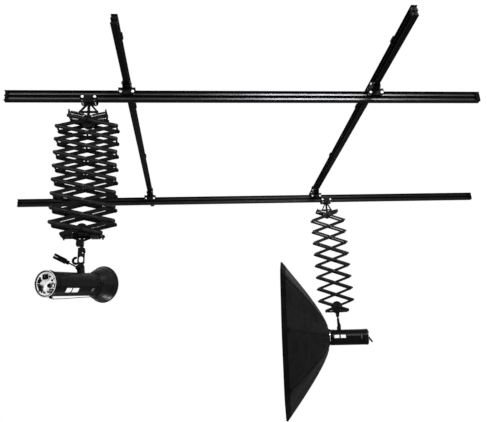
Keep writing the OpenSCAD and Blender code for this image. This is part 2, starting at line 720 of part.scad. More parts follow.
// Tilt lever with a forked grip, on the far end of the front tilt bolt
module front_tilt_lever() {
    y0 = tilt_cheek_y + tilt_cheek_w + lever_gap;
    reach = lever_reach;
    color("#141517") at_lamp(FRONT) difference() {
        union() {
            translate([0, y0 + lever_hub_t, 0]) rotate([90, 0, 0])
                cylinder(d = tilt_bolt_d + 14, h = lever_hub_t);
            translate([0, y0 + lever_hub_t / 2, 0]) rotate([0, -lever_rise, lever_turn]) {
                translate([tilt_bolt_d / 2 + 3, 0, 0]) rotate([0, 90, 0]) cylinder(d = 8, h = reach * 0.6);
                translate([reach * 0.45, 0, 0]) rotate([0, 90, 0]) cylinder(d = 22, h = reach * 0.2);
                for (s = [-1, 1]) translate([reach * 0.6, 0, s * 8]) rotate([0, 90, 0])
                    cylinder(d = 13, h = reach * 0.6);
            }
        }
        rotate([-90, 0, 0]) cylinder(d = tilt_bolt_d + 2 * pin_clear, h = y0 + lever_hub_t + 1);
        translate([0, y0 + lever_hub_t, 0]) rotate([-90, 0, 0])
            cylinder(d = tilt_head_d + 2 * side_clear, h = reach);
    }
}

// Radius of the reflector's wall at a share of its depth
function bowl_r(share, from, to) = from + (to - from) * pow(share, 0.62);

module front_reflector() {
    base = front_head_d / 2 - 8;
    rim = reflector_d / 2;
    start = front_head_ahead + 0.3;
    steps = 8;
    t = reflector_t;
    function wall(i, inset) = [start + i / steps * reflector_depth, bowl_r(i / steps, base, rim) - inset];
    outer = [for (i = [0:steps]) wall(i, 0)];
    inner = [for (i = [steps:-1:0]) wall(i, t)];
    color("#1a1b1e") at_lamp(FRONT) {
        turned(FRONT, concat(outer, inner));
        turned(FRONT, [[start, base - t - 4], [start, base - 0.5], [start + 6, base - 0.5],
            [start + 6, base - t - 4]]);
    }
}

// Softbox with eight ribs. Depth is 0 at the ring and 1 at the lip.
SOFT_N = 32;
SOFT_RINGS = 9;
ring_r = 74;
function soft_r(s) = ring_r + (softbox_d / 2 - ring_r) * (0.6 * s + 0.4 * sqrt(s));
function cloth_sag(a, s) = 1 - 0.07 * min(1, 6 * s) * (1 - 0.35 * s) * pow(sin(4 * a), 2);
function soft_ring(x, r, s) = [for (i = [0:SOFT_N - 1])
    let (a = i * 360 / SOFT_N, q = r * cloth_sag(a, s)) [x, q * sin(a), q * cos(a)]];

function soft_points(inset) =
    let (depth = softbox_depth - softbox_lip, n = SOFT_RINGS)
    [each soft_ring(-softbox_collar - inset, ring_r - inset, 0),
     for (i = [0:n - 1]) let (s = i / (n - 1)) each soft_ring(s * depth, soft_r(s) - inset, s),
     each soft_ring(softbox_depth + inset, softbox_d / 2 - inset, 1)];

// Faces of a closed tube of rings with n points each: two triangles for each step, and both ends
function tube_faces(n, rings) =
    let (steps = [for (r = [0:rings - 2], i = [0:n - 1]) [r * n, i, (i + 1) % n]])
    [[for (i = [n - 1:-1:0]) i],
     for (q = steps) [q[0] + q[1], q[0] + q[2], q[0] + n + q[2]],
     for (q = steps) [q[0] + q[1], q[0] + n + q[2], q[0] + n + q[1]],
     [for (i = [0:n - 1]) (rings - 1) * n + i]];

module soft_solid(inset) {
    polyhedron(soft_points(inset), tube_faces(SOFT_N, SOFT_RINGS + 2));
}

module rear_softbox() {
    x0 = rear_head_ahead + 12;
    face = softbox_depth - softbox_lip / 2;
    color("#1f2023") at_lamp(REAR) translate([x0, 0, -rear_head_drop]) {
        difference() {
            soft_solid(0);
            soft_solid(softbox_t);
        }
        // Diffuser panel set into the lip
        intersection() {
            soft_solid(softbox_t + 0.2);
            translate([face, -softbox_d, -softbox_d]) cube([2, 2 * softbox_d, 2 * softbox_d]);
        }
    }
    // Speed ring between the lamp and the cloth's collar
    ring_x = rear_head_ahead + 0.3;
    ring_in = rear_head_d / 2 - 10;
    ring_out = (ring_r - softbox_t) * cloth_sag(22.5, 0) - 0.3;
    color("silver") at_lamp(REAR)
        turned(REAR, [[ring_x, ring_in], [ring_x, ring_out], [x0, ring_out], [x0, ring_in]]);
}

ceiling_rails();
ceiling_clamps();
ceiling_rail_stops();
for (p = [FRONT, REAR]) {
    carriages(p);
    carriage_wheels(p);
    cross_rail(p);
    rail_end_stops(p);
    trolley(p);
    trolley_wheels(p);
    socket(p);
    lamp_bracket(p);
    flash_head(p);
}
for (p = [FRONT, REAR], kind = [0, 1], k = [1:LEVELS])
    arm(p, kind, k);
front_tilt_lever();
front_reflector();
rear_softbox();
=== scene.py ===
"""Ceiling rail system: rolling cross rails, two scissor pantographs, a flash head and a softbox light."""
import json
from math import atan2, cos, hypot, pi, radians, sin, sqrt

import bpy
import bmesh
from mathutils import Matrix, Vector, noise


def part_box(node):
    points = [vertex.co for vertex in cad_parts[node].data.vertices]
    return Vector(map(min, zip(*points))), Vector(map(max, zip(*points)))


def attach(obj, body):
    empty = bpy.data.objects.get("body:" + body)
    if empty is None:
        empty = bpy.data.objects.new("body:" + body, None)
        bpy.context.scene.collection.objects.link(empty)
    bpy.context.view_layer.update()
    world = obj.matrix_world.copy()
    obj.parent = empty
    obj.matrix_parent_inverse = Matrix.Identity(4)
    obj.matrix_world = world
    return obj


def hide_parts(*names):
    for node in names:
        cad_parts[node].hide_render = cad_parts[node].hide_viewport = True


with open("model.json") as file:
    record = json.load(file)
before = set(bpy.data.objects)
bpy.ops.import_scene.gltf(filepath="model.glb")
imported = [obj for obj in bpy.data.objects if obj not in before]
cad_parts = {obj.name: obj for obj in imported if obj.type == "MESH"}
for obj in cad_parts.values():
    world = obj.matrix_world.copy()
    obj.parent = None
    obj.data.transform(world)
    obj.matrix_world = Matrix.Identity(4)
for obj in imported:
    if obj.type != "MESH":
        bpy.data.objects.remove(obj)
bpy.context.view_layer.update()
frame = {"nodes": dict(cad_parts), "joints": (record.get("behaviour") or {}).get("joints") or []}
NODES = frame["nodes"]
JOINTS = {joint["name"]: joint for joint in frame["joints"]}
MM = 0.001
SIDES = ("front", "rear")
LEVELS = 9
UP = Vector((0, 0, 1))


def mm(*values):
    """Millimetres to metres, for numbers or for tuples of them."""
    return tuple(mm(*v) if isinstance(v, tuple) else v * MM for v in values)


def per_side(front, rear):
    """A size of the front and the rear unit, from millimetres."""
    return {"front": front * MM, "rear": rear * MM}


# Sizes that the solids share, in metres
RAIL_W, RAIL_PITCH = mm(36, 1577)
CHEEK_OUT, CARRIAGE_PLATE_Z = mm(25.5, -85)
PIN_D, PIN_HEAD_T = mm(8, 4)
PIN_END = per_side(43.5, 31.5)
DRUM_HALF = per_side(31, 19)
TOP_DRUM_R = per_side(32, 27)
LOW_DRUM_R = per_side(32, 43)
ARM_W = per_side(23, 18)
ARM_HALF = per_side(178.5, 162.25)
ARM_SLOPE = {"front": radians(13.84), "rear": radians(19.55)}
ARM_EXT = per_side(111, 102)
PRONG_H, LOW_PRONG_H = per_side(36, 18), 12 * MM
SPRING_LEG_D, POST_D, SIDE_CLEAR = mm(7, 18, 1)
WHEEL_R, WHEEL_PITCH, AXLE_HEAD = mm(11, 74, 5)
BRACKET_W = per_side(28, 22)
BRACKET_H = per_side(85, 52)
TILT_RISE, SPIGOT_R, HOOK_R = mm(23, 8, 17)
HEAD_R = per_side(62.5, 67)
HEAD_BACK = per_side(285, 248)
HEAD_AHEAD = per_side(98, 84)
HEAD_DROP = per_side(94, 86)
HEAD_TILT = {"front": radians(9.3), "rear": radians(2)}
PANEL_INSET = 5 * MM
LEVER_HUB_Y, TINE_OFF = mm(19.8, 8)
LEVER_TURN, LEVER_RISE, CORD_GUARD_TURN = radians(147), radians(29), radians(-144)
REFLECTOR_R, REFLECTOR_BASE_R, REFLECTOR_DEPTH = mm(102.5, 54.5, 99)
SOFT_R, SOFT_DEPTH, SOFT_LIP, SOFT_COLLAR = mm(689, 398, 12, 8)
SOFT_START, SOFT_RING_R = mm(96, 74)
SOFT_BODY = SOFT_DEPTH - SOFT_LIP
SOFT_RIBS = 8
SOFT_COLUMNS = SOFT_RIBS * 28

PIVOT = {s: Vector(JOINTS[s + "_scissor"]["pos_m"]) for s in SIDES}
LOW_PIVOT = {s: Vector(JOINTS[s + "_socket_pivot"]["pos_m"]) for s in SIDES}
TILT = {s: Vector(JOINTS[s + "_lamp_tilt"]["pos_m"]) for s in SIDES}


def move(place):
    return Matrix.Translation(place)


def spin(angle, axis):
    return Matrix.Rotation(angle, 4, axis)


def round_angles(count):
    """Even steps round a full turn."""
    return [2 * pi * i / count for i in range(count)]


def lamp_turn(side):
    """Direction of a lamp about the vertical, worked out from its tilt axis."""
    axis = JOINTS[side + "_lamp_tilt"]["axis"]
    return atan2(-axis[0], axis[1])


def lamp_place(side):
    """The lamp's own frame: origin on its axis under the tilt pivot, X along it, Y along the tilt axis."""
    turn = spin(lamp_turn(side), "Z") @ spin(-HEAD_TILT[side], "Y")
    return move(TILT[side]) @ turn @ move((0, 0, -HEAD_DROP[side]))


# Camera, world and lights
CAMERA_PLACE = (-0.4035, -3.725, -1.946)
CAMERA_PITCH, CAMERA_YAW, CAMERA_ROLL = (radians(a) for a in (19.223, 5.735, -2.881))
FOCAL_LENGTH_MM = 40.45
SENSOR_MM = 36
FLOOR_Z = -3.1
FLOOR_HALF = 9
FILL_LEVEL = 0.12


def add_object(name, data):
    obj = bpy.data.objects.new(name, data)
    bpy.context.scene.collection.objects.link(obj)
    return obj


def make_camera():
    data = bpy.data.cameras.new("camera")
    data.lens = FOCAL_LENGTH_MM
    data.sensor_width = SENSOR_MM
    camera = add_object("camera", data)
    turn = spin(-CAMERA_YAW, "Z") @ spin(pi / 2 + CAMERA_PITCH, "X")
    camera.matrix_world = move(CAMERA_PLACE) @ turn @ spin(CAMERA_ROLL, "Z")
    bpy.context.scene.camera = camera


def make_world():
    """White where the camera, a mirror or glass sees it, and a softer fill for everything else."""
    world = bpy.data.worlds.new("studio")
    bpy.context.scene.world = world
    world.use_nodes = True
    tree = world.node_tree
    back = tree.nodes["Background"]
    back.inputs["Color"].default_value = (1, 1, 1, 1)
    path = tree.nodes.new("ShaderNodeLightPath")
    seen = path.outputs["Is Camera Ray"]
    for ray in ("Is Glossy Ray", "Is Transmission Ray"):
        either = tree.nodes.new("ShaderNodeMath")
        either.operation = "MAXIMUM"
        tree.links.new(seen, either.inputs[0])
        tree.links.new(path.outputs[ray], either.inputs[1])
        seen = either.outputs[0]
    level = tree.nodes.new("ShaderNodeMapRange")
    level.inputs["To Min"].default_value = FILL_LEVEL
    level.inputs["To Max"].default_value = 1
    tree.links.new(seen, level.inputs["Value"])
    tree.links.new(level.outputs["Result"], back.inputs["Strength"])


def area_light(name, place, aim, size, power, spread=180):
    data = bpy.data.lights.new(name, "AREA")
    data.spread = radians(spread)
    data.shape = "RECTANGLE"
    data.size, data.size_y = size
    data.energy = power
    light = add_object(name, data)
    light.location = place
    light.rotation_euler = (Vector(aim) - Vector(place)).to_track_quat("-Z", "Y").to_euler()


def make_floor():
    mesh = bpy.data.meshes.new("floor")
    corners = ((-1, -1), (1, -1), (1, 1), (-1, 1))
    mesh.from_pydata([(x * FLOOR_HALF, y * FLOOR_HALF, FLOOR_Z) for x, y in corners], [], [(0, 1, 2, 3)])
    material = bpy.data.materials.new("pale_floor")
    material.use_nodes = True
    shader = material.node_tree.nodes["Principled BSDF"]
    shader.inputs["Base Color"].default_value = (0.86, 0.86, 0.86, 1)
    shader.inputs["Roughness"].default_value = 0.8
    mesh.materials.append(material)
    floor = add_object("floor", mesh)


# Materials
def surface(name, dark, light, rough=(0.35, 0.5), grain=40.0, stretch=(1, 1, 1), metallic=0.0, specular=0.25,
            bump=0.12, bump_grain=900.0, wear=0.0, wear_tone=(0.2, 0.2, 0.21), sheen=0.0, coat=0.0):
    """Procedural finish: two mottled tones, worn specks, uneven roughness and a fine bump."""
    material = bpy.data.materials.new(name)
    material.use_nodes = True
    tree = material.node_tree
    link = tree.links.new
    shader = tree.nodes["Principled BSDF"]
    coordinates = tree.nodes.new("ShaderNodeTexCoord")
    mapping = tree.nodes.new("ShaderNodeMapping")
    mapping.inputs["Scale"].default_value = stretch
    link(coordinates.outputs["Object"], mapping.inputs["Vector"])

    def cloud(scale, detail=4.0):
        made = tree.nodes.new("ShaderNodeTexNoise")
        made.inputs["Scale"].default_value = scale
        made.inputs["Detail"].default_value = detail
        link(mapping.outputs["Vector"], made.inputs["Vector"])
        return made.outputs["Fac"]

    def spread(source, *limits):
        made = tree.nodes.new("ShaderNodeMapRange")
        for socket, value in zip(("From Min", "From Max", "To Min", "To Max"), limits):
            made.inputs[socket].default_value = value
        link(source, made.inputs["Value"])
        return made.outputs["Result"]

    def blend(share, first, second):
        made = tree.nodes.new("ShaderNodeMix")
        made.data_type = "RGBA"
        link(share, made.inputs["Factor"])
        for socket, value in (("A", first), ("B", second)):
            target = [i for i in made.inputs if i.name == socket and i.type == "RGBA"][0]
            if isinstance(value, tuple):
                target.default_value = (*value, 1)
            else:
                link(value, target)
        return [o for o in made.outputs if o.type == "RGBA"][0]

    colour = blend(spread(cloud(grain), 0.35, 0.65, 0, 1), dark, light)
    if wear:
        colour = blend(spread(cloud(grain * 5, 8.0), 0.74 - 0.12 * wear, 0.78, 0, 1), colour, wear_tone)
    link(colour, shader.inputs["Base Color"])
    link(spread(cloud(grain * 2.3), 0.3, 0.7, *rough), shader.inputs["Roughness"])
    relief = tree.nodes.new("ShaderNodeBump")
    relief.inputs["Strength"].default_value = bump
    relief.inputs["Distance"].default_value = 0.0004
    link(cloud(bump_grain, 2.0), relief.inputs["Height"])
    link(relief.outputs["Normal"], shader.inputs["Normal"])
    for socket, value in (("Metallic", metallic), ("Specular IOR Level", specular), ("Sheen Weight", sheen),
                          ("Coat Weight", coat)):
        shader.inputs[socket].default_value = value
    return material


def cloth(name, dark, light, rough, weave_mm, rip_mm, bump, translucent=0.0, specular=0.3, sheen=0.15):
    """Woven cloth by the sheet's own UV in metres: a fine weave, thicker ripstop threads, soft mottling."""
    material = surface(name, dark, light, rough=rough, grain=14.0, specular=specular, bump=bump,
                       bump_grain=700.0, sheen=sheen)
    tree = material.node_tree
    link = tree.links.new
    shader = tree.nodes["Principled BSDF"]
    uv = tree.nodes.new("ShaderNodeTexCoord")
    height = None
    for pitch_mm, share, sharpness in ((weave_mm, 0.3, 1), (rip_mm, 0.7, 12)):
        for direction in ("X", "Y"):
            wave = tree.nodes.new("ShaderNodeTexWave")
            wave.bands_direction = direction
            wave.inputs["Scale"].default_value = pi / (10 * pitch_mm * MM)
            link(uv.outputs["UV"], wave.inputs["Vector"])
            power = tree.nodes.new("ShaderNodeMath")
            power.operation = "POWER"
            power.inputs[1].default_value = sharpness
            link(wave.outputs["Fac"], power.inputs[0])
            scaled = tree.nodes.new("ShaderNodeMath")
            scaled.operation = "MULTIPLY_ADD"
            scaled.inputs[1].default_value = share
            scaled.inputs[2].default_value = 0
            link(power.outputs[0], scaled.inputs[0])
            if height is not None:
                link(height, scaled.inputs[2])
            height = scaled.outputs[0]
    weave = tree.nodes.new("ShaderNodeBump")
    weave.inputs["Strength"].default_value = 0.25
    weave.inputs["Distance"].default_value = 0.0003
    link(height, weave.inputs["Height"])
    relief = shader.inputs["Normal"].links[0].from_node
    link(relief.outputs["Normal"], weave.inputs["Normal"])
    link(weave.outputs["Normal"], shader.inputs["Normal"])
    shader.inputs["Transmission Weight"].default_value = translucent
    return material


ALONG_X, ALONG_Y = (0.04, 1, 1), (1, 0.04, 1)
RAIL_X, RAIL_Y = (surface("anodised_rail_" + end, (0.0014, 0.0014, 0.0016), (0.0036, 0.0037, 0.0041),
                          (0.42, 0.56), 160.0, along, specular=0.03, wear=0.25,
                          wear_tone=(0.02, 0.02, 0.0215))
                  for end, along in (("x", ALONG_X), ("y", ALONG_Y)))
GROOVE_X = surface("groove_x", (0.026, 0.0267, 0.028), (0.043, 0.0438, 0.046), (0.26, 0.36), 220.0, ALONG_X,
                   metallic=0.85, specular=0.1, bump=0.05)
# Groove finish of the rear rail: the same groove as groove_x, made darker as painted shade
GROOVE_PAINTED_SHADE = surface("groove_painted_shade", (0.0022, 0.0023, 0.0025), (0.005, 0.0052, 0.0056), (0.34, 0.46), 220.0,
                      ALONG_X, metallic=0.5, specular=0.1, bump=0.05)
GROOVE_Y = surface("groove_y", (0.004, 0.0042, 0.0046), (0.0085, 0.0087, 0.0094), (0.34, 0.46), 220.0,
                   ALONG_Y, metallic=0.7, specular=0.1, bump=0.05)
PAINT = surface("black_powder_coat", (0.002, 0.0021, 0.0023), (0.0046, 0.0047, 0.0052), (0.42, 0.56), 50.0,
                specular=0.04, bump=0.3, bump_grain=1400.0, wear=0.35, wear_tone=(0.04, 0.04, 0.043))
LACQUER = surface("black_lacquer", (0.0022, 0.0023, 0.0025), (0.006, 0.0062, 0.0068), (0.34, 0.48), 30.0,
                  specular=0.04, bump=0.1, wear=0.5, wear_tone=(0.04, 0.04, 0.043))
RIB = surface("worn_rib", (0.0045, 0.0046, 0.005), (0.02, 0.0205, 0.022), (0.34, 0.48), 24.0, metallic=0.4,
              specular=0.12, wear=0.7, wear_tone=(0.09, 0.09, 0.095))
SPRING_STEEL = surface("spring_steel", (0.012, 0.0124, 0.0132), (0.04, 0.041, 0.043), (0.28, 0.42), 60.0,
                       metallic=0.8, specular=0.15, wear=0.5, wear_tone=(0.14, 0.14, 0.147))
ZINC = surface("zinc", (0.3, 0.3, 0.31), (0.46, 0.46, 0.47), (0.28, 0.42), 90.0, metallic=0.9, bump=0.1)
DARK_ZINC = surface("dark_zinc", (0.022, 0.0225, 0.024), (0.055, 0.056, 0.059), (0.3, 0.45), 90.0,
                    metallic=0.8, specular=0.15)
NYLON = surface("pale_nylon", (0.5, 0.5, 0.48), (0.66, 0.66, 0.64), (0.4, 0.55), 120.0, specular=0.4,
                bump=0.1)
CAP_WHITE = surface("cap_white", (0.84, 0.84, 0.83), (0.93, 0.93, 0.92), (0.35, 0.5), 90.0, specular=0.4)
CASING = surface("glossy_casing", (0.0018, 0.0018, 0.002), (0.004, 0.004, 0.0044), (0.22, 0.32), 18.0,
                 specular=0.06, bump=0.05, bump_grain=1600.0)
TRIM = surface("matte_trim", (0.0016, 0.0016, 0.0018), (0.0036, 0.0036, 0.004), (0.45, 0.6), 60.0,
               specular=0.04)
PANEL = surface("pale_panel", (0.93, 0.93, 0.92), (0.98, 0.98, 0.97), (0.35, 0.5), 50.0, specular=0.4,
                bump=0.04)
LABEL = surface("blank_label", (0.92, 0.92, 0.91), (0.98, 0.98, 0.97), (0.3, 0.42), 140.0, specular=0.4,
                bump=0.06)
GREY_PLATE = surface("grey_plate", (0.05, 0.051, 0.053), (0.085, 0.086, 0.089), (0.35, 0.5), 140.0,
                     specular=0.15)
# Lock screw head: zinc grey, made light and plain so that it also stands in for the glint on it, partly a
# painted highlight
SCREW_PAINTED_GLINT = surface("screw_painted_glint", (0.42, 0.42, 0.43), (0.55, 0.55, 0.56), (0.35, 0.5), 140.0, specular=0.3)
POLISHED = surface("polished_aluminium", (0.72, 0.72, 0.73), (0.84, 0.84, 0.85), (0.16, 0.28), 120.0,
                   metallic=1.0, bump=0.05)
RUBBER = surface("black_rubber", (0.0016, 0.0016, 0.0017), (0.0036, 0.0036, 0.0039), (0.6, 0.75), 80.0,
                 specular=0.03, bump=0.4, bump_grain=1800.0)
SPUN_BLACK = surface("spun_black", (0.0022, 0.0022, 0.0025), (0.0062, 0.0062, 0.0068), (0.28, 0.42), 16.0,
                     specular=0.08, bump=0.1)
SPUN_SILVER = surface("spun_silver", (0.62, 0.62, 0.63), (0.78, 0.78, 0.79), (0.25, 0.38), 90.0, metallic=1.0)
GLASS = surface("frosted_dome", (0.8, 0.8, 0.78), (0.88, 0.88, 0.86), (0.2, 0.3), 40.0, specular=0.5,
                coat=0.5)
NYLON_CLOTH = cloth("coated_nylon", (0.0032, 0.0033, 0.0037), (0.0062, 0.0064, 0.007), (0.5, 0.66), 0.6, 6.0,
                    0.3, specular=0.04, sheen=0.01)
# Webbing of the rim band and corner pockets: a real band, its tone darker than the shell's cloth as painted
# shade on the rim lip
RIM_CLOTH_PAINTED_SHADE = cloth("rim_webbing_painted_shade", (0.0012, 0.0012, 0.0014), (0.003, 0.003, 0.0033), (0.7, 0.85), 1.8, 5.0, 0.5,
                  specular=0.03, sheen=0.0)
SILVER_CLOTH = cloth("silver_lining", (0.55, 0.55, 0.56), (0.72, 0.72, 0.73), (0.35, 0.5), 0.6, 6.0, 0.2)
WHITE_CLOTH = cloth("white_diffuser", (0.74, 0.74, 0.73), (0.84, 0.84, 0.83), (0.6, 0.75), 0.5, 4.0, 0.2,
                    translucent=0.15)


# Forms, each returned as points and faces
class Shape:
    """Points and faces gathered from several forms, each face with the number of its material."""

    def __init__(self):
        self.points, self.faces, self.finish = [], [], []

    def add(self, form, finish=0, place=Matrix.Identity(4)):
        points, faces = form
        start = len(self.points)
        self.points += [place @ Vector(p) for p in points]
        self.faces += [[i + start for i in face] for face in faces]
        self.finish += [finish] * len(faces)
        return self


def turned(profile, sides=40, loop=False):
    """Turned form about the X axis, from (distance along, radius) points. A loop closes on itself."""
    points, faces, rings = [], [], []
    for x, r in profile:
        if r < 1e-7:
            rings.append([len(points)])
            points.append((x, 0, 0))
        else:
            rings.append(list(range(len(points), len(points) + sides)))
            points += [(x, r * cos(a), r * sin(a)) for a in round_angles(sides)]
    pairs = list(zip(rings, rings[1:])) + ([(rings[-1], rings[0])] if loop else [])
    for a, b in pairs:
        for i in range(sides):
            j = (i + 1) % sides
            face = [a[i % len(a)], a[j % len(a)], b[j % len(b)], b[i % len(b)]]
            face = [v for n, v in enumerate(face) if v not in face[:n]]
            if len(face) > 2:
                faces.append(face)
    return points, faces


def tube(path, radius, sides=10, closed=False):
    """Round tube along a path, with a steady frame carried from point to point."""
    path = [Vector(p) for p in path]
    count = len(path)
    points, faces = [], []
    side = None
    for n, p in enumerate(path):
        before = path[(n - 1) % count] if closed or n else p
        after = path[(n + 1) % count] if closed or n < count - 1 else p
        ahead = (after - before).normalized()
        if side is None:
            side = ahead.orthogonal().normalized()
        side = (side - ahead * side.dot(ahead)).normalized()
        other = ahead.cross(side)
        points += [p + (side * cos(a) + other * sin(a)) * radius for a in round_angles(sides)]
    for n in range(count if closed else count - 1):
        a, b = n * sides, (n + 1) % count * sides
        for i in range(sides):
            j = (i + 1) % sides
            faces.append([a + i, a + j, b + j, b + i])
    if not closed:
        faces.append(list(reversed(range(sides))))
        faces.append([(count - 1) * sides + i for i in range(sides)])
    return points, faces


def block(size, bevel=0.8 * MM, steps=2):
    """Box centred on the origin with rounded edges."""
    work = bmesh.new()
    bmesh.ops.create_cube(work, size=1)
    bmesh.ops.scale(work, vec=size, verts=work.verts)
    bmesh.ops.bevel(work, geom=list(work.edges), offset=bevel, segments=steps, profile=0.5, affect="EDGES")
    form = [v.co.copy() for v in work.verts], [[v.index for v in f.verts] for f in work.faces]
    work.free()
    return form


def patch(radius, thick, along, angles, steps=14):
    """Thin plate bent round the X axis, from a range along it and a range of angles from +Z towards +Y."""
    points, faces = [], []
    edge = min(thick * 0.8, 0.8 * MM)
    for r, inset in ((radius - thick * 0.2, 0), (radius + thick - edge, 0), (radius + thick, edge)):
        turn = inset / radius
        for i in range(steps + 1):
            angle = angles[0] + turn + (angles[1] - angles[0] - 2 * turn) * i / steps
            for x in (along[0] + inset, along[1] - inset):
                points.append((x, r * sin(angle), r * cos(angle)))
    row = 2 * (steps + 1)
    for a in (0, row):
        b = a + row
        for i in range(steps):
            for k in (0, 1):
                p = 2 * i + k
                faces.append([a + p, a + p + 2, b + p + 2, b + p])
        for p in (0, 2 * steps):
            faces.append([a + p, a + p + 1, b + p + 1, b + p])
    for i in range(steps):
        for p in (2 * row + 2 * i, 2 * i):
            faces.append([p, p + 1, p + 3, p + 2])
    return points, faces


def facing(place, axis):
    """Matrix that puts a form turned about X at a place, with its X along an axis."""
    axis = Vector(axis).normalized()
    return move(place) @ axis.to_track_quat("X", "Z").to_matrix().to_4x4()


def piece(name, shape, finishes, body, sharp=38):
    """Loose piece of the scene that rides on a body. Faces that meet at over sharp degrees keep an edge."""
    mesh = bpy.data.meshes.new(name)
    mesh.from_pydata([tuple(p) for p in shape.points], [], shape.faces)
    for finish in finishes:
        mesh.materials.append(finish)
    mesh.polygons.foreach_set("material_index", shape.finish)
    work = bmesh.new()
    work.from_mesh(mesh)
    bmesh.ops.recalc_face_normals(work, faces=work.faces)
    work.to_mesh(mesh)
    work.free()
    mesh.shade_smooth()
    mesh.set_sharp_from_angle(angle=radians(sharp))
    obj = add_object(name, mesh)
    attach(obj, body)
    return obj


def dress(name, finishes, choose=None, bevel=0.7 * MM, sharp=30):
    """Gives a CAD node its finishes. choose picks a finish from a face's middle and normal."""
    obj = NODES[name]
    mesh = obj.data
    mesh.materials.clear()
    for finish in finishes:
        mesh.materials.append(finish)
    indexes = [choose(face.center, face.normal) if choose else 0 for face in mesh.polygons]
    mesh.polygons.foreach_set("material_index", indexes)
    if bevel:
        weld = obj.modifiers.new("weld", "WELD")
        weld.merge_threshold = 1e-5
        edges = obj.modifiers.new("edges", "BEVEL")
        edges.width = bevel
        edges.segments = 2
        edges.limit_method = "ANGLE"
        edges.angle_limit = radians(sharp)
        edges.harden_normals = True


# Rails, clamps and stops
def dress_rails():
    def ceiling(centre, normal):
        inside = abs(abs(centre.x) - RAIL_PITCH / 2) < RAIL_W / 2 - 2 * MM
        return 1 if inside and abs(normal.x) > 0.9 else 0

    def cross(centre, normal):
        return 1 if abs(normal.y) > 0.9 and abs(centre.y - middle) < RAIL_W / 2 - 2 * MM else 0

    dress("ceiling_rails", [RAIL_Y, GROOVE_Y], ceiling)
    dress("ceiling_clamps", [PAINT])
    dress("ceiling_rail_stops", [PAINT])
    for side in SIDES:
        low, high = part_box(side + "_cross_rail")
        middle = (low.y + high.y) / 2
        # The rear rail's groove faces take the darker copy of the groove finish, which is painted shade
        dress(side + "_cross_rail", [RAIL_X, GROOVE_X if side == "front" else GROOVE_PAINTED_SHADE], cross)
        dress(side + "_rail_stops", [PAINT])


# Carriages, trolleys and sockets
def dress_rolling_stock():
    for side in SIDES:
        y = PIVOT[side].y

        def carriage_wheel(centre, normal):
            off = abs(centre.y - y) if centre.z < CARRIAGE_PLATE_Z else abs(abs(centre.x) - RAIL_PITCH / 2)
            return 1 if off > CHEEK_OUT - 0.2 * MM else 0

        def trolley_wheel(centre, normal):
            if abs(centre.y - y) < CHEEK_OUT - 0.2 * MM:
                return 0
            return 1 if centre.z > wheel_z - 10 * MM else 2

        low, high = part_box(side + "_trolley_wheels")
        wheel_z = high.z - WHEEL_R
        dress(side + "_carriages", [PAINT])
        dress(side + "_carriage_wheels", [NYLON, CAP_WHITE], carriage_wheel, bevel=0.5 * MM)
        dress(side + "_trolley", [PAINT])
        dress(side + "_trolley_wheels", [NYLON, CAP_WHITE, DARK_ZINC], trolley_wheel, bevel=0.5 * MM)
        dress(side + "_socket", [PAINT])
        make_wheel_caps(side)
        make_drum_springs(side)
        make_leg_springs(side)


CAP_RING = mm((-0.2, 8), (-0.2, 10.6), (1.4, 10.6), (2, 10), (2, 8))


def cap(r, t):
    """Low domed cap about the X axis."""
    return turned([(-0.2 * MM, 0), (-0.2 * MM, r - 0.5 * MM), (0.4 * MM, r), (t - 1.2 * MM, r),
                   (t - 0.4 * MM, r - 0.8 * MM), (t, r * 0.6), (t + 0.2 * MM, 0)], 32)


def make_wheel_caps(side):
    """White cap with a black ring over each axle bolt of the carriages, and a smaller one on the trolley."""
    outer = CHEEK_OUT + AXLE_HEAD
    y = PIVOT[side].y
    spots = [(along, face) for along in (-WHEEL_PITCH / 2, WHEEL_PITCH / 2) for face in (-1, 1)]
    low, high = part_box(side + "_carriage_wheels")
    caps = Shape()
    for crossing in (-RAIL_PITCH / 2, RAIL_PITCH / 2):
        for z, turn in ((low.z + WHEEL_R, 0), (high.z - WHEEL_R, pi / 2)):
            place = move((crossing, y, z)) @ spin(turn, "Z")
            for along, face in spots:
                caps.add(cap(8.6 * MM, 3.2 * MM), 0, place @ facing((along, face * outer, 0), (0, face, 0)))
                rim_place = place @ facing((along, face * CHEEK_OUT, 0), (0, face, 0))
                caps.add(turned(CAP_RING, 32, True), 1, rim_place)
    piece(side + "_carriage_caps", caps, [CAP_WHITE, PAINT], side + "_bridge")
    low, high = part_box(side + "_trolley_wheels")
    caps = Shape()
    for along, face in spots:
        place = (PIVOT[side].x + along, y + face * outer, high.z - WHEEL_R)
        caps.add(cap(8.2 * MM, 2.6 * MM), 0, facing(place, (0, face, 0)))
    piece(side + "_trolley_caps", caps, [CAP_WHITE], side + "_trolley")


# Springs
LEG_ANGLES = (radians(72), radians(28))
LEG_COIL_R = {"front": mm(8, 5.4), "rear": mm(4.6, 4.6)}
LEG_WIRE = per_side(1.4, 1)


def coil_path(radius, wire, start, end, pitch, steps):
    """Line of a coil about the X axis. The pitch is in wire radii, and steps are the points of one turn."""
    turns = abs(end - start) / (wire * pitch)
    count = int(turns * steps)
    path = []
    for i in range(count + 1):
        angle = 2 * pi * turns * i / count
        path.append(Vector((start + (end - start) * i / count, radius * cos(angle), radius * sin(angle))))
    return path


def spring_legs(side, sign, prong, drum):
    """Foot and far end of the two spring legs on an end arm, in the arm's own frame."""
    slope = ARM_SLOPE[side]
    leg_r = drum + SPRING_LEG_D / 2 + 3 * MM
    hook = ARM_W[side] / 4 + prong - PIN_D / 2 - 2 * MM
    start = -sign * ARM_EXT[side]
    feet = (Vector((start, 0, 0)), Vector((start - sign * hook * sin(slope), 0, sign * hook * cos(slope))))
    ends = [Vector((-sign * leg_r * sin(a), 0, sign * leg_r * cos(a))) for a in LEG_ANGLES]
    return list(zip(feet, ends))


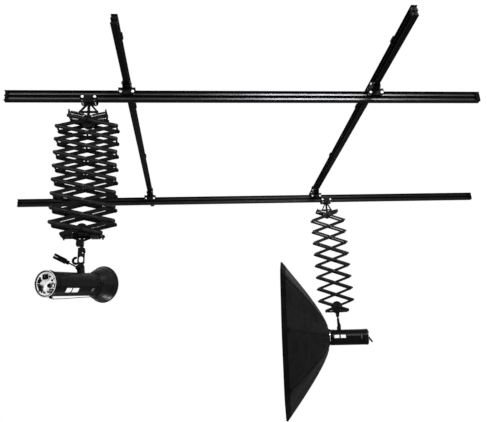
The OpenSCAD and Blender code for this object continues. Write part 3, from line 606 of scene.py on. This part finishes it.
def make_leg_springs(side):
    """Close coils wound round the spring legs of the four end arms, in the arms' own frames."""
    top = (1, 1, PRONG_H[side], TOP_DRUM_R[side], PIVOT[side], 0.84)
    low = (LEVELS, -1, LOW_PRONG_H, LOW_DRUM_R[side], LOW_PIVOT[side], 0.6)
    for level, sign, prong, drum, pivot, end_share in (top, low):
        for mirrored, letter in enumerate("ab"):
            arm = move(pivot) @ Matrix.Diagonal((1 - 2 * mirrored, 1, 1, 1)) @ spin(ARM_SLOPE[side], "Y")
            leg_y = (POST_D + SPRING_LEG_D) / 2 + SIDE_CLEAR + (1 - mirrored) * (SPRING_LEG_D + SIDE_CLEAR)
            shape = Shape()
            for foot, end in spring_legs(side, sign, prong, drum):
                length = (end - foot).length
                path = coil_path(LEG_COIL_R[side][mirrored], LEG_WIRE[side], 0.1 * length, end_share * length,
                                 2.3, 18)
                for face in (-1, 1):
                    place = arm @ move((0, face * leg_y, 0)) @ facing(foot, end - foot)
                    shape.add(tube(path, LEG_WIRE[side], 6), 0, place)
            node = f"{side}_arm_{letter}{level}"
            piece(node + "_coils", shape, [SPRING_STEEL], node + "_body")


def make_drum_springs(side):
    """Torsion spring windings on each end drum, one each side of the hanger's post."""
    wire, post_room, flange_room = mm(1.35, 11, 4.5)
    for where, pivot, drum, body in (("top", PIVOT[side], TOP_DRUM_R[side], side + "_trolley"),
                                     ("low", LOW_PIVOT[side], LOW_DRUM_R[side], side + "_socket")):
        shape = Shape()
        for sign in (-1, 1):
            end = sign * (DRUM_HALF[side] - flange_room)
            path = coil_path(drum + wire, wire, sign * post_room, end, 2.12, 28)
            shape.add(tube([p.yxz for p in path], wire, 8), 0, move(pivot))
        piece(f"{side}_{where}_spring_windings", shape, [SPRING_STEEL], body)


# Pantograph arms
RIVET = mm((-0.2, 0), (-0.2, 4.4), (0.5, 4.4), (0.9, 3.9), (1.6, 3.2), (2.0, 1.8), (2.1, 0))
WASHER = mm((0, 4.2), (0, 8.2), (0.3, 8.4), (0.48, 8.2), (0.48, 4.2))


def arm_pins(side, letter, level):
    """Places of the pins that one arm carries: its lower tip and, on letter a, its middle."""
    slope = ARM_SLOPE[side]
    drop = 2 * ARM_HALF[side] * sin(slope)
    centre = PIVOT[side] - UP * drop * (level - 1)
    way = 1 if letter == "a" else -1
    tip = centre + Vector((way * cos(slope), 0, -sin(slope))) * ARM_HALF[side]
    pins = [tip] if level < LEVELS else []
    if letter == "a" and 1 < level < LEVELS:
        pins.append(centre)
    return pins


def dress_arm(side, letter, level):
    node = f"{side}_arm_{letter}{level}"
    rib_room = 1.2 * MM if letter == "a" else 6.2 * MM

    def rib(centre, normal):
        off = abs(centre.y - PIVOT[side].y)
        return 1 if abs(normal.y) > 0.9 and off > PIN_END[side] - rib_room else 0

    dress(node, [LACQUER, RIB], rib, bevel=0.6 * MM)
    shape = Shape()
    for pin in arm_pins(side, letter, level):
        for sign in (-1, 1):
            outer = pin + Vector((0, sign * (PIN_END[side] + PIN_HEAD_T), 0))
            shape.add(turned(RIVET, 16), 0, facing(outer, (0, sign, 0)))
            inner = pin + Vector((0, sign * (PIN_END[side] - 0.5 * MM), 0))
            shape.add(turned(WASHER, 20, True), 0, facing(inner, (0, sign, 0)))
    if shape.faces:
        piece(node + "_rivets", shape, [DARK_ZINC], node + "_body")


def dress_arms():
    for side in SIDES:
        for letter in "ab":
            for level in range(1, LEVELS + 1):
                dress_arm(side, letter, level)


# Lamp brackets and tilt lever
LEVER_RING = ((0, 6), (0, 6.9), (1, 7.4), (3, 7.4), (4, 6.9), (4, 6))


def dress_brackets():
    to_turn = spin(-lamp_turn("front"), "Z") @ move(-TILT["front"])
    half = BRACKET_W["front"] / 2
    screw = Vector((5 * MM - half, TILT_RISE + BRACKET_H["front"] - 32 * MM))

    def front(centre, normal):
        p = to_turn @ centre
        return 1 if p.y < -half - 0.2 * MM and (Vector((p.x, p.z)) - screw).length < 4.6 * MM else 0

    # The lock screw's head takes the light grey, which carries its painted glint
    dress("front_lamp_bracket", [PAINT, SCREW_PAINTED_GLINT], front)
    dress("rear_lamp_bracket", [PAINT])
    dress("front_tilt_lever", [RUBBER], bevel=1.2 * MM)
    for side in SIDES:
        base = (PIVOT[side].x, PIVOT[side].y, TILT[side].z + TILT_RISE + BRACKET_H[side])
        inner, outer = SPIGOT_R + 0.4 * MM, BRACKET_W[side] / 2
        profile = [(-0.2 * MM, inner), (-0.2 * MM, outer * 0.92), (2 * MM, outer * 0.92),
                   (3.2 * MM, outer * 0.84), (3.2 * MM, inner)]
        collar = Shape().add(turned(profile, 40, True), 0, facing(base, UP))
        piece(side + "_bracket_collar", collar, [DARK_ZINC], side + "_bracket")


def make_lever_grip():
    """Ribbed rubber rings round the two tines of the tilt lever's grip, and the web between the tines."""
    hub = move(TILT["front"]) @ spin(lamp_turn("front"), "Z") @ spin(-HEAD_TILT["front"], "Y")
    hub = hub @ move((0, LEVER_HUB_Y, 0)) @ spin(LEVER_TURN, "Z") @ spin(-LEVER_RISE, "Y")
    shape = Shape()
    for sign in (-1, 1):
        for i in range(9):
            ring = mm(*((78 + 7 * i + along, r) for along, r in LEVER_RING))
            shape.add(turned(ring, 24, True), 0, hub @ move((0, 0, sign * TINE_OFF)))
    piece("front_lever_grip_rings", shape, [RUBBER], "front_lever")
    web = Shape().add(block(mm(46, 9, 4.4)), 0, hub @ move((97 * MM, 0, 0)))
    piece("front_lever_grip_web", web, [RUBBER], "front_lever")


def make_sleeves():
    """Rubber sleeves on the front bracket's cable hook and on the cord guard at the rear lamp's end."""
    centre = Vector((-BRACKET_W["front"] / 2 - 12 * MM, 0, TILT_RISE + 13 * MM)) + TILT["front"]
    bends = [radians(a) for a in range(-104, 97, 8)]
    path = [centre + Vector((-cos(b), 0, sin(b))) * HOOK_R for b in bends]
    sleeve = Shape().add(tube(path, 6.9 * MM, 16))
    piece("front_cable_hook_sleeve", sleeve, [RUBBER], "front_bracket")
    profile = [(4, 6.2), (4, 9.2), (8, 9.6), (12, 9.2)]
    for i in range(5):
        x = 14 + 8 * i
        r = 9 - 0.35 * i
        profile += [(x, r - 1), (x + 2, r), (x + 5, r), (x + 7, r - 1)]
    profile += [(55, 7), (56, 6.2)]
    way = (sin(CORD_GUARD_TURN), 0, cos(CORD_GUARD_TURN))
    place = lamp_place("rear") @ facing((-HEAD_BACK["rear"] - 1 * MM, 0, 2 * MM), way)
    guard = Shape().add(turned(mm(*profile), 28, True), 0, place)
    piece("rear_cord_guard_sleeve", guard, [RUBBER], "rear_lamp")


# Flash heads
KNOB_SHARE, BUTTON_SHARE = 0.5, 0.72
KNOB_ANGLES = (0, 115, 240)
BUTTON_ANGLES = (45, 75, 160, 190, 285, 315)
DARK_BUTTONS = (1, 4, 5)
CASING_RING = mm((0, -0.4), (0, 1.1), (0.6, 1.6), (3.4, 1.6), (4, 1.1), (4, -0.4))
DIAL_RING = mm((0, 11.5), (-0.7, 11.8), (-0.7, 13.1), (0, 13.4))
CHROME_RING_R = {"front": mm(2.2, 3, 5, 5.8, 5.8, 2.2), "rear": mm(-2.8, -2.5, -2.2, -1.9, -1.9, -2.8)}
CHROME_RING_X = mm(-0.4, -1.2, -1.2, -0.4, 0.6, 0.6)
SPUN_RING = mm((-1.5, -0.8), (-0.6, 0.9), (0.6, 1.5), (1.5, 0.4))
STAND_RAIL = mm((-262, -1), (-262, -12), (-256, -16), (-200, -16), (-60, -12), (66, -9), (74, -5), (76, 3))
STAND_FOOT = mm((0, 0), (0, 6), (9, 7.5), (13, 7.5), (14, 6), (14, 0))
# Blank plates: range along the lamp, degrees from the top, lift, thickness, steps and finish
LABEL_PLATES = {
    "front": (((-190, -149), (-140, -117), 0, 1.3, 16, 0), ((-140, -92), (-140, -117), 0, 1.3, 16, 0),
              ((14, 36), (-134, -116), 1.5, 1.5, 10, 1)),
    "rear": (((-50, -6), (78, 101), 0, 1.3, 20, 0), ((6, 52), (78, 101), 0, 1.3, 20, 0),
             ((-176, -60), (80, 84), 0, 1.3, 8, 1), ((-192, -181), (82, 108), 0, 2.2, 8, 1))}


def ring_at(x, r, section):
    """Ring section moved to a place along the axis and a radius."""
    return [(x + along, r + out) for along, out in section]


def panel_spot(side, share, angle):
    """Sideways and upward place on the end panel, in the lamp's own frame."""
    a = radians(angle)
    r = HEAD_R[side] * share
    return Vector((-r * sin(a), r * cos(a)))


def dress_head(side):
    to_lamp = lamp_place(side).inverted()
    panel_x = -HEAD_BACK[side] + PANEL_INSET
    knobs = [panel_spot(side, KNOB_SHARE, a) for a in KNOB_ANGLES]
    buttons = [panel_spot(side, BUTTON_SHARE, a) for a in BUTTON_ANGLES]
    dome_r, knob_r, button_r = mm(31, 10.6, 5.2)
    casing, panel, trim, dome, grey = range(5)

    def choose(centre, normal):
        p = to_lamp @ centre
        across = Vector((p.y, p.z))
        if p.x < -HEAD_BACK[side] - 0.5 * MM:
            return trim
        if p.x > HEAD_AHEAD[side] - 2 * MM and across.length < dome_r:
            return dome
        if p.x > panel_x + 2 * MM or across.length > HEAD_R[side] - 3.1 * MM:
            return casing
        for n, knob in enumerate(knobs):
            if (across - knob).length < knob_r:
                return trim if n == 0 else grey
        for n, button in enumerate(buttons):
            if (across - button).length < button_r:
                return trim if n in DARK_BUTTONS else grey
        return panel

    dress(side + "_flash_head", [CASING, PANEL, TRIM, GLASS, GREY_PLATE], choose, bevel=0)
    make_casing_details(side)
    make_panel_details(side)


def make_casing_details(side):
    """Fine cooling ribs, raised bands and vents round the casing, with blank label plates."""
    place = lamp_place(side)
    r, back, ahead = HEAD_R[side], HEAD_BACK[side], HEAD_AHEAD[side]
    ribs, rib_half, vents, vent_half = 44, 0.018, 20, 0.075
    shape = Shape()
    along = (-back + 44 * MM, ahead - 46 * MM)
    for i in range(ribs):
        angle = 2 * pi * (i + 0.5) / ribs
        under_saddle = abs(sin(angle)) < 0.36 and cos(angle) > 0
        if not under_saddle:
            shape.add(patch(r, 0.9 * MM, along, (angle - rib_half, angle + rib_half), 2), 0, place)
    for x in (-back + 36 * MM, ahead - 38 * MM, ahead - 12 * MM):
        shape.add(turned(ring_at(x, r, CASING_RING), 96, True), 1, place)
    along = (ahead - 31 * MM, ahead - 15 * MM)
    for angle in round_angles(vents):
        shape.add(patch(r, 1.2 * MM, along, (angle - vent_half, angle + vent_half), 4), 1, place)
    piece(side + "_casing_ribs", shape, [TRIM, TRIM], side + "_lamp")

    labels = Shape()
    for along, degrees, lift, thick, steps, finish in LABEL_PLATES[side]:
        angles = [radians(a) for a in degrees]
        labels.add(patch(r + lift * MM, thick * MM, mm(*along), angles, steps), finish, place)
    piece(side + "_label_plates", labels, [LABEL, GREY_PLATE], side + "_lamp")


def make_panel_details(side):
    """Chrome ring, control outlines, sliders and a power inlet on the end panel."""
    place = lamp_place(side)
    back = -HEAD_BACK[side]
    x = back + PANEL_INSET
    shape = Shape()
    ring = ring_at(back, HEAD_R[side], zip(CHROME_RING_X, CHROME_RING_R[side]))
    shape.add(turned(ring, 96, True), 0, place)

    def plate(size, spot, finish, lift=0.0, turn=0.0, bevel=0.3 * MM):
        at = move((x - size[0] / 2 - lift + 0.2 * MM, spot[0], spot[1])) @ spin(turn, "X")
        shape.add(block(size, bevel), finish, place @ at)

    # Square cap of the main dial, with a pointer
    top = panel_spot(side, KNOB_SHARE, 0)
    shift = -8 * MM if side == "front" else 0
    plate(mm(7, 32, 27), (top[0] + shift, top[1] + 2 * MM), 1, lift=7.6 * MM, bevel=1.5 * MM)
    plate(mm(1.2, 2.4, 12), (top[0] + shift, top[1] + 4 * MM), 2, lift=14.4 * MM)
    # Rings and ticks round the two lower dials
    tick_r = 15.4 * MM
    for angle in KNOB_ANGLES[1:]:
        spot = panel_spot(side, KNOB_SHARE, angle)
        shape.add(turned(DIAL_RING, 40, True), 1, place @ move((x, spot[0], spot[1])))
        plate(mm(1, 1.8, 8), (spot[0], spot[1] + 4 * MM), 1, lift=7.7 * MM)
        for tick in range(8):
            a = radians(30 + 300 * tick / 7)
            tick_spot = (spot[0] - tick_r * sin(a + pi), spot[1] + tick_r * cos(a + pi))
            plate(mm(0.8, 1, 2.6), tick_spot, 1, turn=a)
    # Two slanted sliders at one side
    slant = radians(-26)
    plate(mm(5, 20, 20), mm(35, 20), 1, turn=radians(-32), bevel=2 * MM)
    for off, length in ((0, 52), (9, 34)):
        plate(mm(1.6, 7, length), mm(36 + off, -20 + off), 1, turn=slant)
        plate(mm(4, 8, 6), mm(38 + off, -14 + off), 2, turn=slant, bevel=0.8 * MM)
    # Power inlet with its frame and three pins, and two rockers beside it
    inlet_y, inlet_z = -33, -40
    plate(mm(3, 27, 21), mm(inlet_y, inlet_z), 1, bevel=1 * MM)
    plate(mm(1, 20, 14), mm(inlet_y, inlet_z), 2, lift=2.9 * MM)
    for pin in (-5, 0, 5):
        plate(mm(2, 1.6, 4), mm(inlet_y + pin, inlet_z + abs(pin) * 0.5), 0, lift=3.2 * MM)
    for spot in mm((-44, -2), (-52, 20)):
        plate(mm(3, 6, 6), spot, 1, bevel=1 * MM)
    # Bracket-shaped frame of the display beside the inlet
    for size, spot in mm(((2, 16, 4), (-46, -7)), ((2, 4, 20), (-54, -15)), ((2, 14, 4), (-48, -24))):
        plate(size, spot, 1, bevel=0.6 * MM)
    piece(side + "_panel_details", shape, [POLISHED, TRIM, GREY_PLATE], side + "_lamp")


def make_front_stand():
    """Thin double rail and foot under the front head."""
    place = lamp_place("front")
    r = HEAD_R["front"]
    shape = Shape()
    for y in mm(-24, -14):
        shape.add(tube([(x, y, z - r) for x, z in STAND_RAIL], 1.6 * MM, 10), 0, place)
    shape.add(turned(STAND_FOOT, 24), 1, place @ facing((-270 * MM, -18 * MM, -r), (0, 0, -1)))
    piece("front_head_stand", shape, [GREY_PLATE, RUBBER], "front_lamp")


def dress_reflector():
    place = lamp_place("front")
    to_lamp = place.inverted()

    def choose(centre, normal):
        p = to_lamp @ centre
        n = to_lamp.to_3x3() @ normal
        outward = n.y * p.y + n.z * p.z > 0
        return 0 if outward or p.x < HEAD_AHEAD["front"] + 6.5 * MM else 1

    dress("front_reflector", [SPUN_BLACK, SPUN_SILVER], choose, bevel=0)
    start = HEAD_AHEAD["front"] + 0.3 * MM
    bead_x, bead_r = start + REFLECTOR_DEPTH - 1.5 * MM, 2.6 * MM
    shape = Shape()
    bead = [(bead_x + bead_r * cos(a), REFLECTOR_R + 0.2 * MM + bead_r * sin(a)) for a in round_angles(12)]
    shape.add(turned(bead, 120, True), 0, place)
    for share in (0.12, 0.3, 0.62):
        r = REFLECTOR_BASE_R + (REFLECTOR_R - REFLECTOR_BASE_R) * share ** 0.62
        ring = ring_at(start + share * REFLECTOR_DEPTH, r, SPUN_RING)
        shape.add(turned(ring, 120, True), 0, place)
    piece("front_reflector_bead", shape, [SPUN_BLACK], "front_lamp")


# Softbox
CLOTH_INSET = 1.8 * MM
UV_RADIUS = 0.4
ROD_SOCKET = mm((-4, 0), (-4, 4.5), (22, 4.5), (24, 3.6), (24, 0))
LOCK_KNOB = mm((0, 0), (0, 3), (9, 3), (9, 8), (17, 8), (18, 7), (18, 0))


def soft_radius(share):
    return SOFT_RING_R + (SOFT_R - SOFT_RING_R) * (0.6 * share + 0.4 * sqrt(share))


def soft_sag(angle, share):
    """Share of the radius that is left where the cloth is drawn in between its ribs."""
    return 1 - 0.07 * min(1, 6 * share) * (1 - 0.35 * share) * sin(angle * SOFT_RIBS / 2) ** 2


def soft_point(angle, x, off=0.0, share=None):
    """Point of the cloth at a depth, or off it, in the lamp's own frame."""
    if share is None:
        share = min(1.0, max(0.0, x / SOFT_BODY))
    r = soft_radius(share) * soft_sag(angle, share) + off
    return Vector((SOFT_START + x, r * sin(angle), r * cos(angle)))


def crease(angle, share):
    """Wrinkles: pleats near the ring, slack ripples between the ribs and pulls towards the corners."""
    pleat_height, slack_height, pull_height = mm(1.1, 4.2, 0.9)
    between = sin(angle * SOFT_RIBS / 2) ** 2
    pleats = sin(angle * 56 + 3 * noise.noise(Vector((angle * 3, share * 4, 0))))
    out = pleat_height * pleats * max(0, 1 - share / 0.3) ** 1.5
    slack = noise.noise(Vector((angle * 4, share * 7, 5)))
    out += slack_height * slack * between * min(1, share * 5)
    pull = sin((share * 34 + 9 * abs(sin(angle * SOFT_RIBS / 2))) + 2 * slack)
    out += pull_height * pull * (1 - between) * max(0, share - 0.35)
    return out - CLOTH_INSET


def grid_faces(rows, columns):
    faces = []
    for r in range(rows - 1):
        for c in range(columns):
            d = (c + 1) % columns
            faces.append([r * columns + c, r * columns + d, (r + 1) * columns + d, (r + 1) * columns + c])
    return faces


def add_uv(obj, around, along):
    """UV in metres, from functions of a corner's place: its angle round the lamp and its length along."""
    mesh = obj.data
    layer = mesh.uv_layers.new(name="cut")
    for face in mesh.polygons:
        corners = [mesh.vertices[mesh.loops[i].vertex_index].co for i in face.loop_indices]
        turns = [around(corner) for corner in corners]
        wrap = max(turns) - min(turns) > pi
        for i, turn, corner in zip(face.loop_indices, turns, corners):
            whole = turn + (2 * pi if wrap and turn < 0 else 0)
            layer.data[i].uv = (whole * UV_RADIUS, along(corner))


def make_softbox():
    place = lamp_place("rear")
    to_lamp = place.inverted()
    rows = 62
    shares = [(i / (rows - 1)) ** 1.35 for i in range(rows)]
    points = []
    for x, share in [(-SOFT_COLLAR, 0.0), (-SOFT_COLLAR / 2, 0.0)] + [(s * SOFT_BODY, s) for s in shares]:
        for angle in round_angles(SOFT_COLUMNS):
            points.append(place @ soft_point(angle, x, crease(angle, share) if share else 0.0))
    for step in (0.5, 1.0):
        for angle in round_angles(SOFT_COLUMNS):
            points.append(place @ soft_point(angle, SOFT_BODY + SOFT_LIP * step, -CLOTH_INSET))
    shape = Shape().add((points, grid_faces(len(points) // SOFT_COLUMNS, SOFT_COLUMNS)))
    shell = piece("softbox_shell", shape, [NYLON_CLOTH, SILVER_CLOTH], "rear_lamp", 60)

    def around(co):
        p = to_lamp @ co
        return atan2(p.y, p.z)

    def along(co):
        p = to_lamp @ co
        return hypot(p.y, p.z) + p.x * 0.3

    add_uv(shell, around, along)
    lining = shell.modifiers.new("lining", "SOLIDIFY")
    lining.thickness = 1.2 * MM
    lining.offset = -1
    lining.material_offset = 1
    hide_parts("rear_softbox")

    pieces = [make_soft_rim(place, around), make_soft_seams(place), make_corner_pockets(place)]
    make_diffuser(place, around)
    make_speed_ring(place)
    for a, b in zip(shares, shares[1:]):
        ra, rb = soft_radius(a), soft_radius(b)


def make_soft_rim(place, around):
    """Webbing band round the mouth, folded over the edge to hold the diffuser."""
    width, fold, thick, inside, lift = mm(42, 16, 1.6, 2.8, 0.4)
    outer = []
    for i in range(7):
        outer.append((SOFT_DEPTH - width * (1 - i / 6), thick * (0.3 if i == 0 else 1.0)))
    rows = outer + [(SOFT_DEPTH + thick, -1 * MM), (SOFT_DEPTH + thick, -fold),
                    (SOFT_DEPTH - lift, -fold), (SOFT_DEPTH - lift, -inside)]
    rows += [(x, -inside - thick) for x, off in reversed(outer)]
    points = []
    for x, off in rows:
        for angle in round_angles(SOFT_COLUMNS):
            pull = 0.6 * MM * sin(angle * 96) if abs(off) < thick * 1.1 else 0.0
            points.append(place @ soft_point(angle, x, off + pull))
    faces = grid_faces(len(rows), SOFT_COLUMNS)
    last = (len(rows) - 1) * SOFT_COLUMNS
    for c in range(SOFT_COLUMNS):
        d = (c + 1) % SOFT_COLUMNS
        faces.append([last + c, last + d, d, c])
    shape = Shape().add((points, faces))
    for x, off in ((SOFT_DEPTH - width + 3 * MM, 2.2 * MM), (SOFT_DEPTH - 2 * MM, 2.6 * MM)):
        path = [place @ soft_point(angle, x, off) for angle in round_angles(SOFT_COLUMNS)]
        shape.add(tube(path, 1.9 * MM, 8, True))
    # The band takes the darker webbing cloth, whose tone is painted shade on the rim lip
    rim = piece("softbox_rim_band", shape, [RIM_CLOTH_PAINTED_SHADE], "rear_lamp", 50)
    add_uv(rim, around, lambda co: co.x)
    return rim


def make_soft_seams(place):
    """Piped seam along each rib, with a row of stitches each side."""
    steps, stitches = 48, 90
    shape = Shape()
    for angle in round_angles(SOFT_RIBS):
        path = []
        for i in range(steps + 1):
            share = (i / steps) ** 1.3 * 0.97
            path.append(place @ soft_point(angle, share * SOFT_BODY, 0.6 * MM))
        shape.add(tube(path, 2.1 * MM, 8))
        for side in (-1, 1):
            for i in range(stitches):
                stitch = []
                for end in (0.1, 0.6):
                    share = ((i + end) / stitches) ** 1.15 * 0.94 + 0.01
                    turn = side * 7.5 * MM / soft_radius(share)
                    stitch.append(place @ soft_point(angle + turn, share * SOFT_BODY, -0.9 * MM))
                shape.add(tube(stitch, 0.55 * MM, 4), 1)
    return piece("softbox_seams", shape, [NYLON_CLOTH, TRIM], "rear_lamp", 50)


def make_corner_pockets(place):
    """Sewn pocket over each rod's end at the rim."""
    start, length, half_width = mm(62, 58, 21)
    count = 9
    size = count * count
    faces = []
    for layer in (0, size):
        for i in range(count - 1):
            for k in range(count - 1):
                a = layer + i * count + k
                faces.append([a, a + 1, a + count + 1, a + count])
    rim = list(range(count)) + [i * count + count - 1 for i in range(1, count)]
    rim += [(count - 1) * count + k for k in range(count - 2, -1, -1)]
    rim += [i * count for i in range(count - 2, 0, -1)]
    for a, b in zip(rim, rim[1:] + rim[:1]):
        faces.append([a, b, b + size, a + size])
    shape = Shape()
    for angle in round_angles(SOFT_RIBS):
        points = []
        for lift in (0, 1):
            for i in range(count):
                x = SOFT_DEPTH - start + length * i / (count - 1)
                v = 2 * i / (count - 1) - 1
                for k in range(count):
                    u = 2 * k / (count - 1) - 1
                    dome = (1 - u ** 4) * (1 - v ** 4)
                    off = (1.2 + lift * (0.8 + 2.8 * dome)) * MM
                    points.append(place @ soft_point(angle + u * half_width / SOFT_R, x, off))
        shape.add((points, faces))
    # The pockets take the same darker webbing cloth, with its painted shade
    return piece("softbox_corner_pockets", shape, [RIM_CLOTH_PAINTED_SHADE], "rear_lamp", 50)


def make_diffuser(place, around):
    """White front panel, tucked under the rim's fold, slightly crowned with creases towards the corners."""
    rings, columns = 30, SOFT_RIBS * 20
    edge = 5.5 * MM
    points = [place @ Vector((SOFT_START + SOFT_DEPTH - 4 * MM, 0, 0))]
    for ring in range(1, rings + 1):
        share = ring / rings
        for angle in round_angles(columns):
            r = (SOFT_R * soft_sag(angle, 1.0) - edge) * share
            slack = noise.noise(Vector((3 * cos(angle) * share, 3 * sin(angle) * share, 2)))
            pleat = sin(angle * 72) * max(0, share - 0.75) * 4 * (1 - share)
            crown = 4.5 + 3 * share ** 2 - 1.2 * slack * (1 - share) - 1.2 * pleat
            x = SOFT_START + SOFT_DEPTH - crown * MM
            points.append(place @ Vector((x, r * sin(angle), r * cos(angle))))
    faces = [[0, 1 + c, 1 + (c + 1) % columns] for c in range(columns)]
    for ring in range(rings - 1):
        a = 1 + ring * columns
        for c in range(columns):
            d = (c + 1) % columns
            faces.append([a + c, a + columns + c, a + columns + d, a + d])
    shape = Shape().add((points, faces))
    diffuser = piece("softbox_diffuser", shape, [WHITE_CLOTH], "rear_lamp", 60)
    add_uv(diffuser, around, lambda co: co.z)
    skin = diffuser.modifiers.new("skin", "SOLIDIFY")
    skin.thickness = 0.8 * MM
    skin.offset = -1


def make_speed_ring(place):
    """Cast ring between the lamp and the collar, with rod sockets and lock knobs, and the eight rods."""
    start = HEAD_AHEAD["rear"] + 0.3 * MM
    inner, outer = HEAD_R["rear"] - 10 * MM, 70.4 * MM
    ring = [(start, inner), (start, outer - 1 * MM), (start + 1 * MM, outer), (SOFT_START - 0.2 * MM, outer),
            (SOFT_START - 0.2 * MM, outer - 4 * MM), (SOFT_START + 6 * MM, outer - 5 * MM),
            (SOFT_START + 6 * MM, inner)]
    shape = Shape().add(turned(ring, 96, True), 0, place)
    rods = Shape()
    rod_start, rod_steps = 4 * MM, 24
    for rib, angle in enumerate(round_angles(SOFT_RIBS)):
        path = []
        for i in range(rod_steps + 1):
            share = i / rod_steps
            x = rod_start + share * (SOFT_BODY - rod_start)
            path.append(place @ soft_point(angle, x, -7.5 * MM, max(share, 0.002)))
        rods.add(tube(path, 3 * MM, 8))
        shape.add(turned(ROD_SOCKET, 20), 0, facing(path[0], path[1] - path[0]))
        if rib % 2 == 1:
            knob_place = place @ spin(-angle, "X") @ facing((start + 4 * MM, 0, outer - 1 * MM), UP)
            shape.add(turned(LOCK_KNOB, 18), 1, knob_place)
    piece("softbox_speed_ring", shape, [POLISHED, TRIM], "rear_lamp")
    piece("softbox_rods", rods, [ZINC], "rear_lamp")


make_camera()
make_world()
make_floor()
area_light("key", (-3.4, -4.6, 1.6), (-0.2, 0, -0.8), (3.0, 3.0), 80)
area_light("fill", (4.2, -3.0, -0.6), (0.2, 0.4, -1.0), (2.5, 2.5), 40)
area_light("floor_bounce", (-0.397, 0.511, -2.96), (-0.884, -0.567, -1.35), (0.35, 0.35), 26)
area_light("panel_kick", (-1.9, -2.5, -1.7), (-1.06, -0.8, -1.33), (0.2, 0.2), 0.06, 14)
area_light("rail_streak", (1.3, -4.1, 1.95), (0.4, -0.72, -0.13), (1.6, 1.0), 300)
dress_rails()
dress_rolling_stock()
dress_arms()
dress_brackets()
make_lever_grip()
make_sleeves()
for lamp in SIDES:
    dress_head(lamp)
make_front_stand()
dress_reflector()
make_softbox()

bpy.context.scene.view_settings.view_transform = "Standard"
